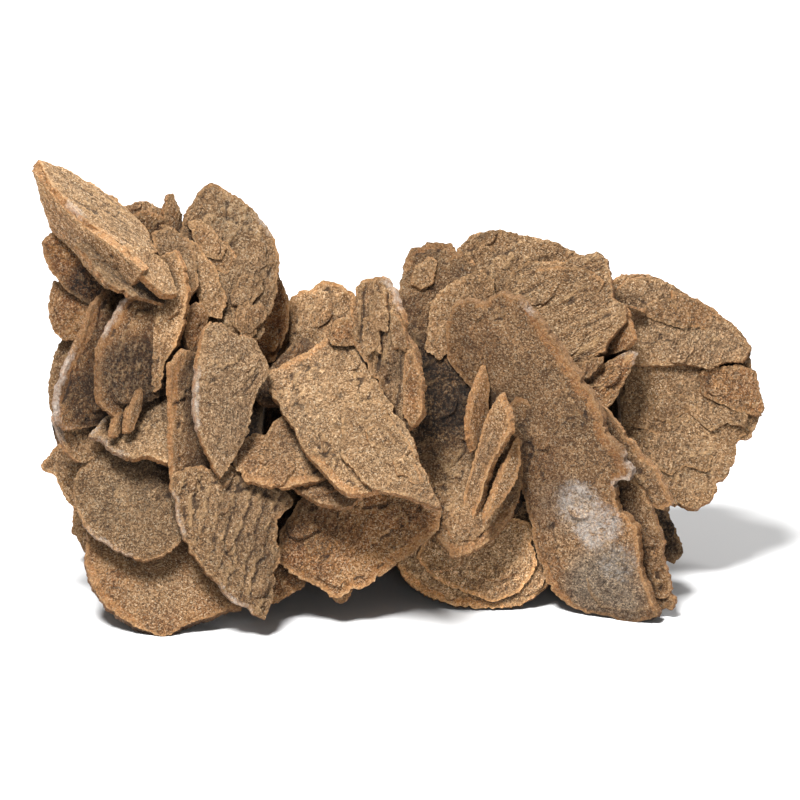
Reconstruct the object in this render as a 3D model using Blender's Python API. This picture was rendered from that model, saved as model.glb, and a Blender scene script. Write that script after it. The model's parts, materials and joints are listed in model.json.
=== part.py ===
"""Gypsum sand rose (desert rose): a cluster of flat lens-shaped crystals grown through one another.

The specimen is one fused solid, so it is one object. Each crystal is a flat plate with a chamfered rim.
Most are given by the outline of the plate as seen square on to the face plane, a plane that leans
back from the vertical by LEAN. The outline is dropped straight back onto the crystal's own tilted plane.
The crystals that cross the core or make the far side are given by a centre and two half sizes.

Face coordinates are in millimetres: x to the right, v up the face plane, near towards the viewer.
The finished object is in metres, +Z up, and stands on z = 0 on the worn flats of its lowest crystals.
"""

import math

import bmesh
import bpy
from mathutils import Matrix, Vector

MM = 0.001
LEAN = math.radians(20.0)  # how far the face plane leans back
FLOOR_DROP = 7.9  # height of the face plane's zero point below the floor, mm
CENTRE_X = 0.1  # middle of the finished cluster across, in face coordinates, mm
CENTRE_Y = 11.5  # middle of the finished cluster front to back, mm

CHAMFER = 0.45  # width of the chamfered rim, as a share of the thickness
FLOOR_BLOCK = (0.4, 0.4, 0.1)  # width, depth and height of the block under the floor, m
ROSETTE_SIDES = 9  # corners of a crystal that is given by its half sizes
ROSETTE_WAVE = 0.07  # how far its corners swing in and out

# name, yaw, pitch (degrees the face is turned right and up), near, thickness, outline corners (x, v)
FACE_CRYSTALS = [
    ("foot_disc", 0, 15, 18, 4, [
        (-62.4, 19.6), (-63, 14.6), (-61.2, 9), (-57.6, 4.2), (-52.4, 1), (-46.8, -1), (-42, 2),
        (-34.4, 4.6), (-31, 5), (-33, 15), (-40, 27), (-50, 33), (-60, 31)]),
    ("foot_upper_disc", 0, 15, 20.5, 3, [
        (-58, 39), (-62.4, 35.2), (-65.2, 30.6), (-64, 24.4), (-61.6, 20.2), (-57, 17.2), (-50.6, 14.8),
        (-46, 16), (-41, 21), (-43, 33), (-50, 39)]),
    ("left_chip", -20, 0, 12, 2.4, [
        (-71.6, 34), (-67.8, 38.2), (-60, 38), (-58, 30), (-61, 25), (-64.2, 25.4), (-66, 26.4),
        (-68, 30.2), (-68.4, 32.2), (-70.8, 32.6)]),
    ("left_lower_fin", 25, 0, 19.5, 2.6, [
        (-69.2, 43.2), (-67.8, 39.8), (-66.6, 36.2), (-63.2, 34.4), (-60.2, 36), (-56, 41), (-60, 48),
        (-67, 48)]),
    ("white_edged_fin", 35, 0, 20, 3, [
        (-57.4, 70.8), (-61.6, 65.8), (-63.6, 61), (-65.8, 56.2), (-68.2, 49.6), (-69, 45.6),
        (-68.6, 42.8), (-66.6, 40.8), (-61, 41.4), (-54, 44), (-51, 57), (-53, 69)]),
    ("shaded_fin", 30, 0, 22.5, 3, [
        (-51.8, 69.6), (-54.8, 67.2), (-57, 63.4), (-59, 60.4), (-60.6, 57.2), (-60.6, 47), (-59.2, 45),
        (-57, 43.4), (-52, 46), (-45, 49), (-44, 59), (-48, 68)]),
    ("left_valley", -25, 0, 21, 3.2, [
        (-44, 76.8), (-42.2, 72.6), (-41.6, 67.2), (-42.6, 61.8), (-44, 57.6), (-46.4, 54.6),
        (-47, 49.4), (-49.4, 47.8), (-52, 49), (-53, 67), (-49, 74.6)]),
    ("spire_upper", 38, 43, 17, 3, [
        (-72.8, 94), (-67.8, 92.6), (-61.6, 89), (-55.6, 84.8), (-51, 80.6), (-48.6, 75.4), (-52, 74.6),
        (-56.4, 77.4), (-61.6, 80.6), (-66, 84.6), (-70, 89)]),
    ("spire_lower", -45, -22, 19.5, 3, [
        (-72.6, 93.6), (-70.8, 87.2), (-68.6, 81), (-64.8, 77.6), (-60.8, 72.6), (-57.6, 69.4),
        (-53, 69), (-50, 73), (-56.4, 78.4), (-61.6, 81.6), (-66, 85.6), (-70, 90)]),
    ("spire_splinter", 38, 43, 22.5, 2.2, [
        (-64.8, 77.6), (-60.8, 73), (-58.2, 69.8), (-54, 67.6), (-47, 65.6), (-47, 69), (-53, 73.6),
        (-59, 77.6)]),
    ("spire_bud", 30, 25, 25, 3.4, [
        (-55.2, 76.8), (-51, 76.4), (-48, 74.6), (-46, 71.8), (-44.2, 67.2), (-47.2, 66.8),
        (-51.8, 70.2), (-54, 74)]),
    ("left_back_upper", -15, -10, 13, 3, [
        (-71.2, 78.8), (-69, 80.6), (-66.6, 80.2), (-61.6, 75), (-56, 69), (-60, 65.4), (-65.4, 68.4),
        (-69, 72.2), (-70.6, 75.6)]),
    ("left_back_middle", -20, 0, 10, 3, [
        (-69, 71), (-65, 70), (-59, 66), (-58, 60), (-66.8, 58.6), (-69, 60.6), (-70, 63.8),
        (-69.8, 67.6)]),
    ("left_back_lower", -15, 0, 7, 3, [
        (-66.8, 60), (-69, 55), (-70.2, 49), (-69.6, 44.6), (-67.6, 39.8), (-60, 39), (-57, 50),
        (-59, 60)]),
    ("crown_disc", 8, 12, 10, 4, [
        (-44, 79.4), (-42.4, 85), (-40, 88.4), (-37.6, 89.8), (-33.4, 87.6), (-30.2, 85.6),
        (-27.2, 82.6), (-25, 79), (-24.2, 73), (-25, 67), (-27.6, 59), (-33, 57), (-39, 60), (-43, 69)]),
    ("amber_backing", 30, 0, 6, 2.6, [
        (-26, 74.6), (-24.2, 71), (-22.2, 66.4), (-22.6, 61), (-25.6, 54.2), (-32, 54), (-32, 69)]),
    ("crown_bud_back", 0, 20, 4, 2.6, [
        (-58.2, 87.8), (-55.2, 86.2), (-50, 86.4), (-47.6, 85.4), (-45, 80), (-50, 74), (-57, 78)]),
    ("crown_bud_front", 0, -10, 10, 2.2, [
        (-53.6, 83.8), (-50, 84.8), (-46.8, 83.8), (-45, 78), (-50, 76)]),
    ("crown_thorn", 25, 0, 10, 2.2, [
        (-47.4, 84.6), (-46.4, 88.2), (-45.6, 88.2), (-43.8, 84), (-44, 77), (-47, 77)]),
    ("valley_splinter", 35, 0, 19, 2.2, [
        (-40.2, 66.4), (-38.6, 64.6), (-38.8, 61), (-38.8, 56), (-41.8, 55), (-43.5, 59.6), (-42.8, 65)]),
    ("standing_blade", 20, 0, 25, 4, [
        (-38, 63), (-34.8, 61.6), (-33, 60), (-29.2, 59.2), (-26.8, 54.6), (-26.4, 52.4), (-28.8, 49.4),
        (-29.8, 46.2), (-30.6, 40.2), (-33.2, 35), (-36, 31), (-37.4, 33), (-39, 37), (-40.6, 41),
        (-41.4, 45.6), (-41.2, 51), (-40.4, 56), (-39.2, 61)]),
    ("deep_fin", 40, 0, 22, 3, [
        (-43.2, 57), (-46.4, 54), (-46, 47.4), (-46, 38.6), (-45.6, 31.4), (-39, 28), (-34, 32),
        (-34, 47), (-38, 56)]),
    ("flaky_blade", 10, 5, 23.5, 4, [
        (-45.8, 33), (-40, 34), (-35.6, 34), (-30, 34), (-24, 31), (-21.4, 26.4), (-24.4, 23),
        (-24.2, 15), (-24.8, 11.4), (-26, 8.6), (-26.8, 3.2), (-30, 5), (-34.4, 7.6), (-39, 13),
        (-42.8, 17.8), (-44.8, 23)]),
    ("shelf_blade", 0, 30, 21.5, 2.6, [
        (-62, 39.4), (-59.4, 38.6), (-57, 36), (-53.2, 34.8), (-50.2, 35.6), (-46.4, 34), (-43, 37),
        (-44, 46), (-49, 49), (-54, 46), (-59, 43)]),
    ("shelf_fin_left", 40, 0, 24, 1.8, [
        (-56.4, 47.4), (-58, 43.6), (-58.6, 40.2), (-57.8, 39.4), (-55, 43.4), (-54, 46.6)]),
    ("shelf_fin_right", 40, 0, 24, 1.8, [
        (-53.6, 46.8), (-54.6, 44), (-54.4, 41), (-53.6, 40.8), (-51, 42.4), (-51, 46)]),
    ("back_disc_middle", 0, 12, 5, 3.6, [
        (-23, 61), (-22.4, 66.4), (-20.2, 68.8), (-18, 68.8), (-15.2, 71), (-12.4, 70.2), (-9.4, 68.2),
        (-6, 61), (-9, 50), (-20, 48), (-25, 55)]),
    ("ribbed_blade", -28, 0, 20.5, 3, [
        (-9.4, 65.6), (-7.2, 70.8), (-2.6, 71.4), (-0.6, 68.2), (1.4, 62.4), (3.6, 57), (4.6, 52.6),
        (4.6, 43.8), (2, 41), (-0.2, 42), (-4, 50), (-8.6, 57.6)]),
    ("ribbed_bud", 0, 0, 19, 2.6, [
        (-14, 60.8), (-11.8, 63.6), (-9, 63.2), (-6, 59.4), (-9, 55), (-13.6, 57)]),
    ("table_blade", -8, 25, 25.5, 4, [
        (-26.2, 51.8), (-23.2, 53.6), (-17.4, 56.4), (-13.2, 59.2), (-9.8, 58.6), (-7.4, 54),
        (-1.8, 46.4), (2.4, 40.2), (4.4, 33), (8.6, 25), (6, 25.8), (1.4, 27.2), (-3.6, 28.4),
        (-7.2, 27.6), (-10.6, 27.6), (-13.2, 30), (-16.2, 33.8), (-19, 36.8), (-21.6, 41.4),
        (-23.6, 44.6), (-25.8, 48.6)]),
    ("low_shelf", 0, 32, 22, 2.8, [
        (-33, 33.8), (-32.8, 36.8), (-29, 39.8), (-26.6, 39.4), (-23.2, 43.4), (-19, 43), (-14, 38),
        (-12.8, 31.8), (-16.6, 30.4), (-21.6, 29.2), (-25.4, 29.2), (-30.4, 30.4)]),
    ("hanging_blade", 0, 5, 17.5, 3.6, [
        (-24.4, 15), (-24, 20), (-20, 27), (-11, 31), (2, 30), (8.2, 24.6), (7.6, 21), (3, 17),
        (-2, 13), (-7, 10), (-13, 7.6), (-15, 9), (-20, 11.4)]),
    ("amber_tail", 10, 5, 15.4, 2.6, [
        (-26, 6.2), (-24.6, 6.6), (-19.6, 9.4), (-16, 14), (-20, 19), (-26, 16), (-27.5, 10)]),
    ("tail_chip", 0, 0, 16.6, 2.2, [
        (-15.4, 10), (-12.8, 6.8), (-11, 6.6), (-9, 10), (-10, 14), (-14, 14)]),
    ("tall_face", 0, 6, 10, 4, [
        (1, 73.6), (1.8, 76), (3.6, 77.8), (7, 78.4), (10.2, 78.2), (11.6, 76), (15, 72.8), (19, 70.8),
        (22, 63), (20, 43), (12, 27), (5, 27), (1, 39), (-2, 53), (-0.4, 67)]),
    ("lower_lobe", 0, 0, 14.5, 3.4, [
        (6.2, 21), (8.2, 17.8), (9.8, 15.4), (11.2, 15), (14, 16.2), (18.4, 19), (22.2, 23.6),
        (24.2, 28.8), (24.6, 36), (21, 47), (14, 49), (7, 41), (5, 29)]),
    ("great_blade", -20, -12, 16, 4.6, [
        (9.6, 62.6), (11.2, 66.4), (13.2, 67.6), (17.4, 66.4), (20.8, 68.6), (23.6, 68.2), (27.8, 63.6),
        (32.8, 57.2), (37.6, 49.6), (40.8, 45), (41.6, 41), (45, 36.6), (46.8, 33.4), (46.2, 31.2),
        (43.4, 31.4), (43.6, 26.8), (47.8, 21.4), (48.2, 13.8), (50.4, 8), (52, 4.4), (46.6, 2.6),
        (41.6, 4), (36.8, 4.8), (32.6, 7.2), (29.8, 10), (27, 21), (22, 39), (16, 48), (10, 55)]),
    ("notch_fin_left", 40, 0, 17.5, 2.4, [
        (16.4, 54.6), (17.6, 51.8), (17.8, 47), (17.4, 40.6), (14.8, 36.6), (13.6, 39.4), (13.2, 44.8),
        (14.4, 49.8)]),
    ("notch_fin_middle", -35, 0, 18.5, 3, [
        (20.8, 48.8), (22.2, 47.6), (23, 42), (20.4, 37.4), (18, 32.6), (16.4, 30.6), (14.4, 24.4),
        (11.4, 18.4), (11, 20.4), (12, 26.4), (12.4, 31.8), (14, 35.8), (16, 39.8), (18, 45.2)]),
    ("notch_fin_right", 20, 0, 18.5, 2.6, [
        (23.4, 40.2), (24.2, 36.6), (24.2, 29.2), (22.6, 25.2), (18.8, 20.6), (16.4, 22.8),
        (17.2, 28.4), (19.2, 34.2), (20.6, 37.4)]),
    ("right_foot", 0, 5, 7.5, 4, [
        (-0.8, 14.6), (0, 12), (2.2, 10), (6.2, 7.6), (9.8, 6.4), (14.4, 5.2), (17.6, 5.2), (21.2, 5.6),
        (23.8, 5.6), (26.2, 7.2), (29.4, 10), (31.2, 15), (30, 23), (20, 31), (8, 27), (2, 20)]),
    ("tucked_disc", 0, 0, 6, 3, [
        (46, 29), (52.8, 25.8), (54.8, 22), (56.4, 18.2), (56.6, 16.2), (54.8, 14.2), (52.8, 14.8),
        (40, 15), (38, 24)]),
    ("high_back_disc", 0, 12, -2, 3.6, [
        (11, 73), (11.4, 77.4), (14.4, 80.6), (18.2, 81.4), (23.6, 80.2), (30.4, 78.6), (36.6, 75.6),
        (40, 69), (34, 60), (20, 58), (12, 64)]),
    ("slanted_slab", -12, 10, 7, 4, [
        (21, 69), (23, 72.6), (25.8, 74.2), (30.4, 74.6), (37.4, 75.6), (39.6, 76.4), (41.6, 74.8),
        (42.6, 70.6), (43, 67), (45.4, 65.6), (45.8, 62.6), (42.4, 58.4), (41.4, 56.4), (36, 53),
        (28, 54), (22, 61)]),
    ("slab_end", -35, 0, 5, 3, [
        (41, 66.6), (45.8, 65.2), (47.4, 58.8), (45.4, 56.8), (40, 55), (38, 61)]),
    ("wedge_block", 10, 10, 4, 5, [
        (35, 50), (40.8, 54.4), (45.6, 56.8), (47.4, 56.4), (46, 53), (42.2, 46), (38, 43)]),
    ("right_disc", 8, 5, -3, 4.6, [
        (40, 70), (44.2, 72.6), (49, 72), (54.2, 70.4), (58, 67.6), (62.4, 65.2), (66.8, 62),
        (69.2, 59.4), (70.4, 57), (69.6, 55), (71.2, 52.6), (72, 48.6), (73, 45), (71.4, 43), (70, 40),
        (66.8, 37.6), (66.8, 34), (64.2, 30.4), (62.8, 27.6), (58.8, 25.2), (54.2, 26), (47, 29),
        (40, 43), (38, 59)]),
    ("right_upper_slab", 5, 14, 0.5, 4, [
        (41.2, 67), (45, 71), (49, 71.8), (54.2, 70.2), (58, 67.4), (62.4, 65), (66.8, 61.8),
        (70.2, 57), (68.4, 54.6), (65, 54.2), (62, 53.2), (58, 54.2), (52, 53.6), (45, 53.4), (40, 60)]),
    ("right_middle_slab", 8, 6, -0.5, 3.4, [
        (42.4, 49.6), (50.2, 50.8), (58, 49), (65.4, 46.8), (71, 44), (70, 40.6), (66.8, 37.8),
        (61.2, 38), (58.4, 37), (55.6, 37.8), (52.6, 39.4), (47.8, 41.4), (43.6, 42)]),
]

# Growth layers and parallel crystals: name, host, distance in front of the host, thickness, corners
GROWTH_LAYERS = [
    ("crown_layer_middle", "crown_disc", 2.6, 2.6, [
        (-48, 82), (-45, 81), (-40.8, 78), (-37, 73), (-34.2, 67), (-35.6, 62.6), (-39, 63.4),
        (-41, 69), (-44, 76)]),
    ("crown_layer_outer", "crown_disc", 4.6, 2.6, [
        (-49.6, 80.2), (-45.6, 81.4), (-42, 78.6), (-40.4, 74.6), (-40, 69), (-42.4, 66.8), (-46, 72),
        (-49, 77)]),
    ("crown_layer_upper", "crown_disc", 2.2, 2, [
        (-42.8, 82.6), (-40, 83), (-37.2, 80.6), (-34.6, 77), (-35.6, 74.6), (-40, 75.4)]),
    ("crown_layer_right", "crown_disc", 1.8, 2, [
        (-31.6, 72.2), (-27.6, 71.6), (-27, 69), (-29.6, 65.8), (-27.6, 61.8), (-30, 59.4), (-33.6, 61),
        (-34, 68)]),
    ("ribbed_layer", "ribbed_blade", 1.6, 1.8, [
        (-1.8, 57.8), (1.4, 55.6), (1.4, 47.2), (-0.2, 45.2), (-2.6, 48.6), (-4.4, 53.8)]),
    ("table_layer", "table_blade", 1.7, 2, [
        (-11.4, 45), (-9.4, 40.2), (-11, 36.8), (-8.2, 33), (-6.8, 30.6), (-3.6, 29), (1.4, 27.8),
        (7, 26.2), (4, 33), (1, 39), (-4.4, 46)]),
    ("table_under_layer", "table_blade", -2.2, 2.2, [
        (-25.8, 53.4), (-21.6, 57.8), (-19, 59.4), (-17, 58), (-14, 53), (-20, 46), (-25, 49)]),
    ("table_root", "table_blade", -4.6, 2.6, [
        (-29.6, 48), (-28.8, 50.4), (-26.2, 52.6), (-20, 56.6), (-15, 51), (-20, 45), (-27.6, 46)]),
    ("low_shelf_under", "low_shelf", -1.8, 2.2, [
        (-23, 29.8), (-20.8, 28.8), (-16.2, 26.2), (-12.4, 25.4), (-9.4, 25.6), (-6.8, 27.6), (-8, 34),
        (-17, 36)]),
    ("tall_layer_left", "tall_face", 1.9, 2, [
        (2, 70), (2.6, 73.4), (6, 75.6), (7.6, 74.6), (6.6, 70), (4, 68.6)]),
    ("tall_layer_right", "tall_face", 2.1, 2, [
        (6, 67), (10.4, 70.4), (16, 73), (18.6, 70.8), (19, 67), (14, 61), (8, 55), (5, 57)]),
    ("right_foot_layer", "right_foot", 1.9, 2, [
        (3.2, 15.8), (5.6, 12.6), (8.8, 9.8), (13.2, 8.4), (18.8, 6.6), (24, 8.6), (28, 14), (26, 23),
        (12, 24), (5, 21)]),
    ("second_great_blade", "great_blade", -4.4, 3.2, [
        (32, 55), (36, 51), (38.4, 48), (42, 44.8), (45.8, 40), (49.2, 35.4), (51.2, 33.4),
        (53.2, 29.2), (54.6, 26.6), (52.4, 25.2), (48, 27), (40, 29), (32, 41)]),
    ("lower_right_layer", "great_blade", -3.2, 3, [
        (45, 34), (49, 29.4), (50.6, 25), (52.2, 20.6), (53, 14.2), (55.2, 7.6), (54.8, 5.2),
        (53.2, 5.4), (51, 4.6), (47, 9), (43, 19), (41, 29)]),
    ("wedge_chip", "wedge_block", 3.4, 2.2, [
        (33, 53.8), (40.4, 55.8), (40.6, 54.6), (37.6, 51.4), (34, 50)]),
    ("right_dome", "right_upper_slab", 1.8, 2.6, [
        (47.8, 64.8), (49.8, 66.8), (53.4, 67.6), (55.8, 66.8), (57.8, 64.4), (58.4, 62), (57.2, 60.8),
        (54.2, 61.6), (49.8, 63)]),
    ("right_edge_lobe", "right_disc", 2.2, 2.8, [
        (60, 53), (68.4, 54.4), (71.2, 52.6), (72, 49), (73, 45), (71.4, 43.4), (66, 45), (60, 48)]),
    ("right_small_layer", "right_middle_slab", 1.6, 1.8, [
        (49.2, 45), (51, 43), (53.8, 42.4), (57, 44.2), (60, 45.4), (58, 48), (52, 48.4)]),
]

# name, yaw, pitch, centre (x, near, v), half width and half height, thickness
CORE_CRYSTALS = [
    ("left_core", 0, 0, (-47, -2, 44), (15, 22), 15),
    ("left_fin_outer", 78, 0, (-57, -1, 54), (18, 24), 3.6),
    ("left_fin_middle", 100, 0, (-47, 2, 54), (20, 29), 4),
    ("left_fin_inner", 65, 0, (-37, 0, 52), (18, 27), 4),
    ("left_fin_low", 95, 0, (-50, 1, 25), (20, 19), 4),
    ("left_shelf_high", 170, 72, (-46, -3, 63), (18, 16), 3.6),
    ("left_shelf_low", 10, 80, (-45, 2, 37), (19, 19), 3.6),
    ("left_back_high", 176, 58, (-47, -15, 61), (16, 17), 3.6),
    ("left_back_side", 238, 18, (-60, -11, 51), (14, 20), 3.6),
    ("left_back_tall", 150, 9, (-37, -19, 47), (12, 25), 4),
    ("left_back_foot", 200, 2, (-54, -16, 28), (13, 18), 3.6),
    ("left_back_fin", 114, 12, (-49, -22, 42), (11, 19), 3.4),
    ("left_back_cross", 184, 34, (-41, -24, 30), (12, 13), 3.2),
    ("left_back_low_fin", 72, -6, (-41, -21, 21), (10, 16), 3.4),
    ("valley_core", 0, 0, (-30, -5, 35), (9, 17), 12),
    ("middle_core", 0, 0, (-12, -3, 36), (19, 17), 14),
    ("middle_fin_left", 85, 0, (-25, 1, 41), (20, 20), 3.6),
    ("middle_fin_centre", 105, 0, (-12, 1, 40), (20, 24), 4),
    ("middle_fin_right", 72, 0, (1, 0, 42), (18, 26), 4),
    ("middle_shelf_high", 200, 78, (-10, -4, 51), (22, 15), 3.6),
    ("middle_shelf_low", 10, 84, (-3, 0, 24), (28, 16), 4),
    ("middle_back_high", 194, 48, (-15, -14, 48), (16, 16), 3.6),
    ("middle_back_right", 208, 12, (2, -18, 37), (13, 20), 3.6),
    ("middle_back_foot", 150, 16, (-23, -19, 30), (13, 19), 4),
    ("middle_back_fin", 98, 10, (-8, -21, 33), (12, 18), 3.4),
    ("middle_back_shelf", 176, 64, (-13, -20, 23), (15, 11), 3.2),
    ("right_core", 0, 0, (27, -6, 42), (19, 20), 14),
    ("right_tip_core", 8, 5, (48, -9, 46), (13, 15), 8),
    ("right_fin_left", 100, 0, (14, -2, 47), (17, 27), 4),
    ("right_fin_centre", 70, 0, (27, -3, 44), (17, 28), 4),
    ("right_fin_outer", 105, 0, (40, -6, 44), (15, 27), 3.6),
    ("right_fin_tip", 80, 0, (54, -9, 50), (9, 18), 3.2),
    ("right_fin_low", 100, 0, (38, -2, 24), (13, 17), 4),
    ("right_shelf_high", 175, 72, (33, -7, 62), (20, 15), 3.6),
    ("right_shelf_low", 5, 80, (44, -5, 38), (18, 13), 3.6),
    ("right_back_left", 160, 34, (22, -17, 53), (14, 19), 3.6),
    ("right_back_outer", 214, 12, (43, -17, 46), (13, 20), 3.6),
    ("right_back_tip", 150, 15, (58, -15, 49), (11, 17), 3.2),
    ("right_back_foot", 164, 12, (31, -19, 30), (15, 18), 4),
    ("right_back_corner", 220, 8, (47, -13, 31), (11, 17), 3.6),
    ("right_back_fin", 104, -8, (34, -22, 45), (12, 20), 3.4),
    ("right_back_scale", 188, 52, (50, -19, 57), (11, 10), 3),
    ("right_back_low", 196, 42, (17, -21, 28), (12, 12), 3.2),
]

FACE_TO_WORLD = (
    Matrix.Translation((-CENTRE_X * MM, -CENTRE_Y * MM, -FLOOR_DROP * MM))
    @ Matrix.Rotation(-LEAN, 4, "X")
    @ Matrix.Scale(MM, 4)
)


def face_point(x, near, v):
    """A point of the face plane's frame: right, away from the viewer, up the plane."""
    return Vector((x, -near, v))


def turn_of(yaw, pitch):
    """The rotation that turns a crystal lying in the face plane to its own slant."""
    return Matrix.Rotation(math.radians(yaw), 3, "Z") @ Matrix.Rotation(-math.radians(pitch), 3, "X")


def normal_of(yaw, pitch):
    return turn_of(yaw, pitch) @ Vector((0, -1, 0))


def dropped_outline(corners, anchor, normal):
    """The corners moved straight back onto the plane through the anchor."""
    flat = [face_point(x, 0, v) for x, v in corners]
    return [p + Vector((0, normal.dot(anchor - p) / normal.y, 0)) for p in flat]


def rosette_outline(centre, turn, half_sizes):
    """A rounded outline with a slight three-fold wave, in the crystal's own plane."""
    corners = []
    for i in range(ROSETTE_SIDES):
        angle = 2 * math.pi * i / ROSETTE_SIDES
        reach = 1 + ROSETTE_WAVE * math.sin(3 * angle + centre.x)
        along = half_sizes[0] * reach * math.cos(angle)
        up = half_sizes[1] * reach * math.sin(angle)
        corners.append(centre + turn @ Vector((along, 0, up)))
    return corners


def middle_of(points):
    return sum(points[1:], points[0]) / len(points)


def crystal_mesh(name, outline, normal, thickness):
    """A plate that is widest at mid thickness and chamfered to a smaller flat face on both sides."""
    bm = bmesh.new()
    ring = bmesh.ops.create_circle(bm, segments=len(outline), radius=1, cap_ends=True)["verts"]
    for vert, corner in zip(ring, outline):
        vert.co = corner
    middle = middle_of(outline)
    radius = sum((corner - middle).length for corner in outline) / len(outline)
    share = 1 - CHAMFER * thickness / radius
    bm.faces.ensure_lookup_table()
    flat = bm.faces[0]
    for side in (1, -1):
        grown = bmesh.ops.extrude_face_region(bm, geom=[flat])["geom"]
        ring = [g for g in grown if isinstance(g, bmesh.types.BMVert)]
        bmesh.ops.scale(bm, vec=(share, share, share), space=Matrix.Translation(-middle), verts=ring)
        bmesh.ops.translate(bm, vec=normal * (side * thickness / 2), verts=ring)
    bmesh.ops.delete(bm, geom=[flat], context="FACES_ONLY")
    bmesh.ops.transform(bm, matrix=FACE_TO_WORLD, verts=bm.verts)
    bmesh.ops.recalc_face_normals(bm, faces=bm.faces)
    mesh = bpy.data.meshes.new(name)
    bm.to_mesh(mesh)
    bm.free()
    return mesh


def all_crystals():
    """The mesh of every crystal of the cluster."""
    meshes = []
    planes = {}
    for name, yaw, pitch, near, thickness, corners in FACE_CRYSTALS:
        normal = normal_of(yaw, pitch)
        x, v = middle_of([Vector(c) for c in corners])
        anchor = face_point(x, near, v)
        planes[name] = (anchor, normal)
        meshes.append(crystal_mesh(name, dropped_outline(corners, anchor, normal), normal, thickness))
    for name, host, lift, thickness, corners in GROWTH_LAYERS:
        anchor, normal = planes[host]
        outline = dropped_outline(corners, anchor + normal * lift, normal)
        meshes.append(crystal_mesh(name, outline, normal, thickness))
    for name, yaw, pitch, centre, half_sizes, thickness in CORE_CRYSTALS:
        outline = rosette_outline(face_point(*centre), turn_of(yaw, pitch), half_sizes)
        meshes.append(crystal_mesh(name, outline, normal_of(yaw, pitch), thickness))
    return meshes


def shells(bm):
    """The separate closed surfaces of a mesh, each as a set of faces."""
    left = set(bm.faces)
    found = []
    while left:
        shell = set()
        front = [left.pop()]
        while front:
            face = front.pop()
            shell.add(face)
            for edge in face.edges:
                joined = left.intersection(edge.link_faces)
                left -= joined
                front.extend(joined)
        found.append(shell)
    return found


def keep_outer_shell(mesh):
    """Fills the small pockets sealed inside the cluster: only the outer surface stays."""
    bm = bmesh.new()
    bm.from_mesh(mesh)
    outer = max(shells(bm), key=len)
    bmesh.ops.delete(bm, geom=[f for f in bm.faces if f not in outer], context="FACES")
    bmesh.ops.triangulate(bm, faces=bm.faces)
    bm.to_mesh(mesh)
    bm.free()


def cutter(name, mesh, collection):
    """An object that only shapes the solid and is no part of it."""
    made = bpy.data.objects.new(name, mesh)
    collection.objects.link(made)
    made.hide_render = True
    made.display_type = "WIRE"
    return made


def floor_block(collection):
    """A block whose top is the floor, which wears the lowest crystals flat."""
    bm = bmesh.new()
    below = Matrix.Translation((0, 0, -FLOOR_BLOCK[2] / 2))
    bmesh.ops.create_cube(bm, size=1, matrix=below @ Matrix.Diagonal((*FLOOR_BLOCK, 1)))
    mesh = bpy.data.meshes.new("floor_block")
    bm.to_mesh(mesh)
    bm.free()
    return cutter("floor_block", mesh, collection)


def applied(owner):
    """The object's mesh with its modifiers worked in."""
    graph = bpy.context.evaluated_depsgraph_get()
    graph.update()
    mesh = bpy.data.meshes.new_from_object(owner.evaluated_get(graph))
    owner.modifiers.clear()
    return mesh


def gypsum():
    """Matt grey-brown gypsum full of desert sand."""
    material = bpy.data.materials.new("sandy_gypsum")
    material.use_nodes = True
    shader = material.node_tree.nodes["Principled BSDF"]
    shader.inputs["Base Color"].default_value = (0.32, 0.19, 0.095, 1)
    shader.inputs["Roughness"].default_value = 0.85
    shader.inputs["Metallic"].default_value = 0
    return material


def main():
    for old in list(bpy.data.objects):
        bpy.data.objects.remove(old)
    home = bpy.data.collections.new("gypsum_sand_rose")
    crystals = bpy.data.collections.new("crystals")
    cutters = bpy.data.collections.new("cutters")
    for collection in (home, crystals, cutters):
        bpy.context.scene.collection.children.link(collection)

    meshes = all_crystals()
    rose = bpy.data.objects.new("sand_rose", meshes[0])
    home.objects.link(rose)
    for mesh in meshes[1:]:
        cutter(mesh.name, mesh, crystals)

    grown_together = rose.modifiers.new("grown_together", "BOOLEAN")
    grown_together.operation = "UNION"
    grown_together.solver = "EXACT"
    grown_together.operand_type = "COLLECTION"
    grown_together.collection = crystals
    worn_flat = rose.modifiers.new("worn_flat", "BOOLEAN")
    worn_flat.operation = "DIFFERENCE"
    worn_flat.solver = "EXACT"
    worn_flat.object = floor_block(cutters)

    rose.data = applied(rose)
    keep_outer_shell(rose.data)
    rose.data.name = "sand_rose"
    rose.data.materials.append(gypsum())


main()
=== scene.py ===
"""Gypsum sand rose (desert rose), dressed for rendering.

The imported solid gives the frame. Each of its crystals is made again as a worn, sandy plate: a slab
whose two faces are worked with swells, growth ledges, overlapping scales, flakes, ribs, pits and
cracks, cut to a ragged outline. The crystals of one part of the cluster are grown together in one
closed piece.

Face coordinates are in millimetres, as in the part's own source: x to the right, v up the face plane,
near towards the viewer. A crystal's own coordinates are a and b in its plane and c along its normal.
"""

import json
import math

import bmesh
import bpy
import numpy as np
from mathutils import Matrix, Vector

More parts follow.
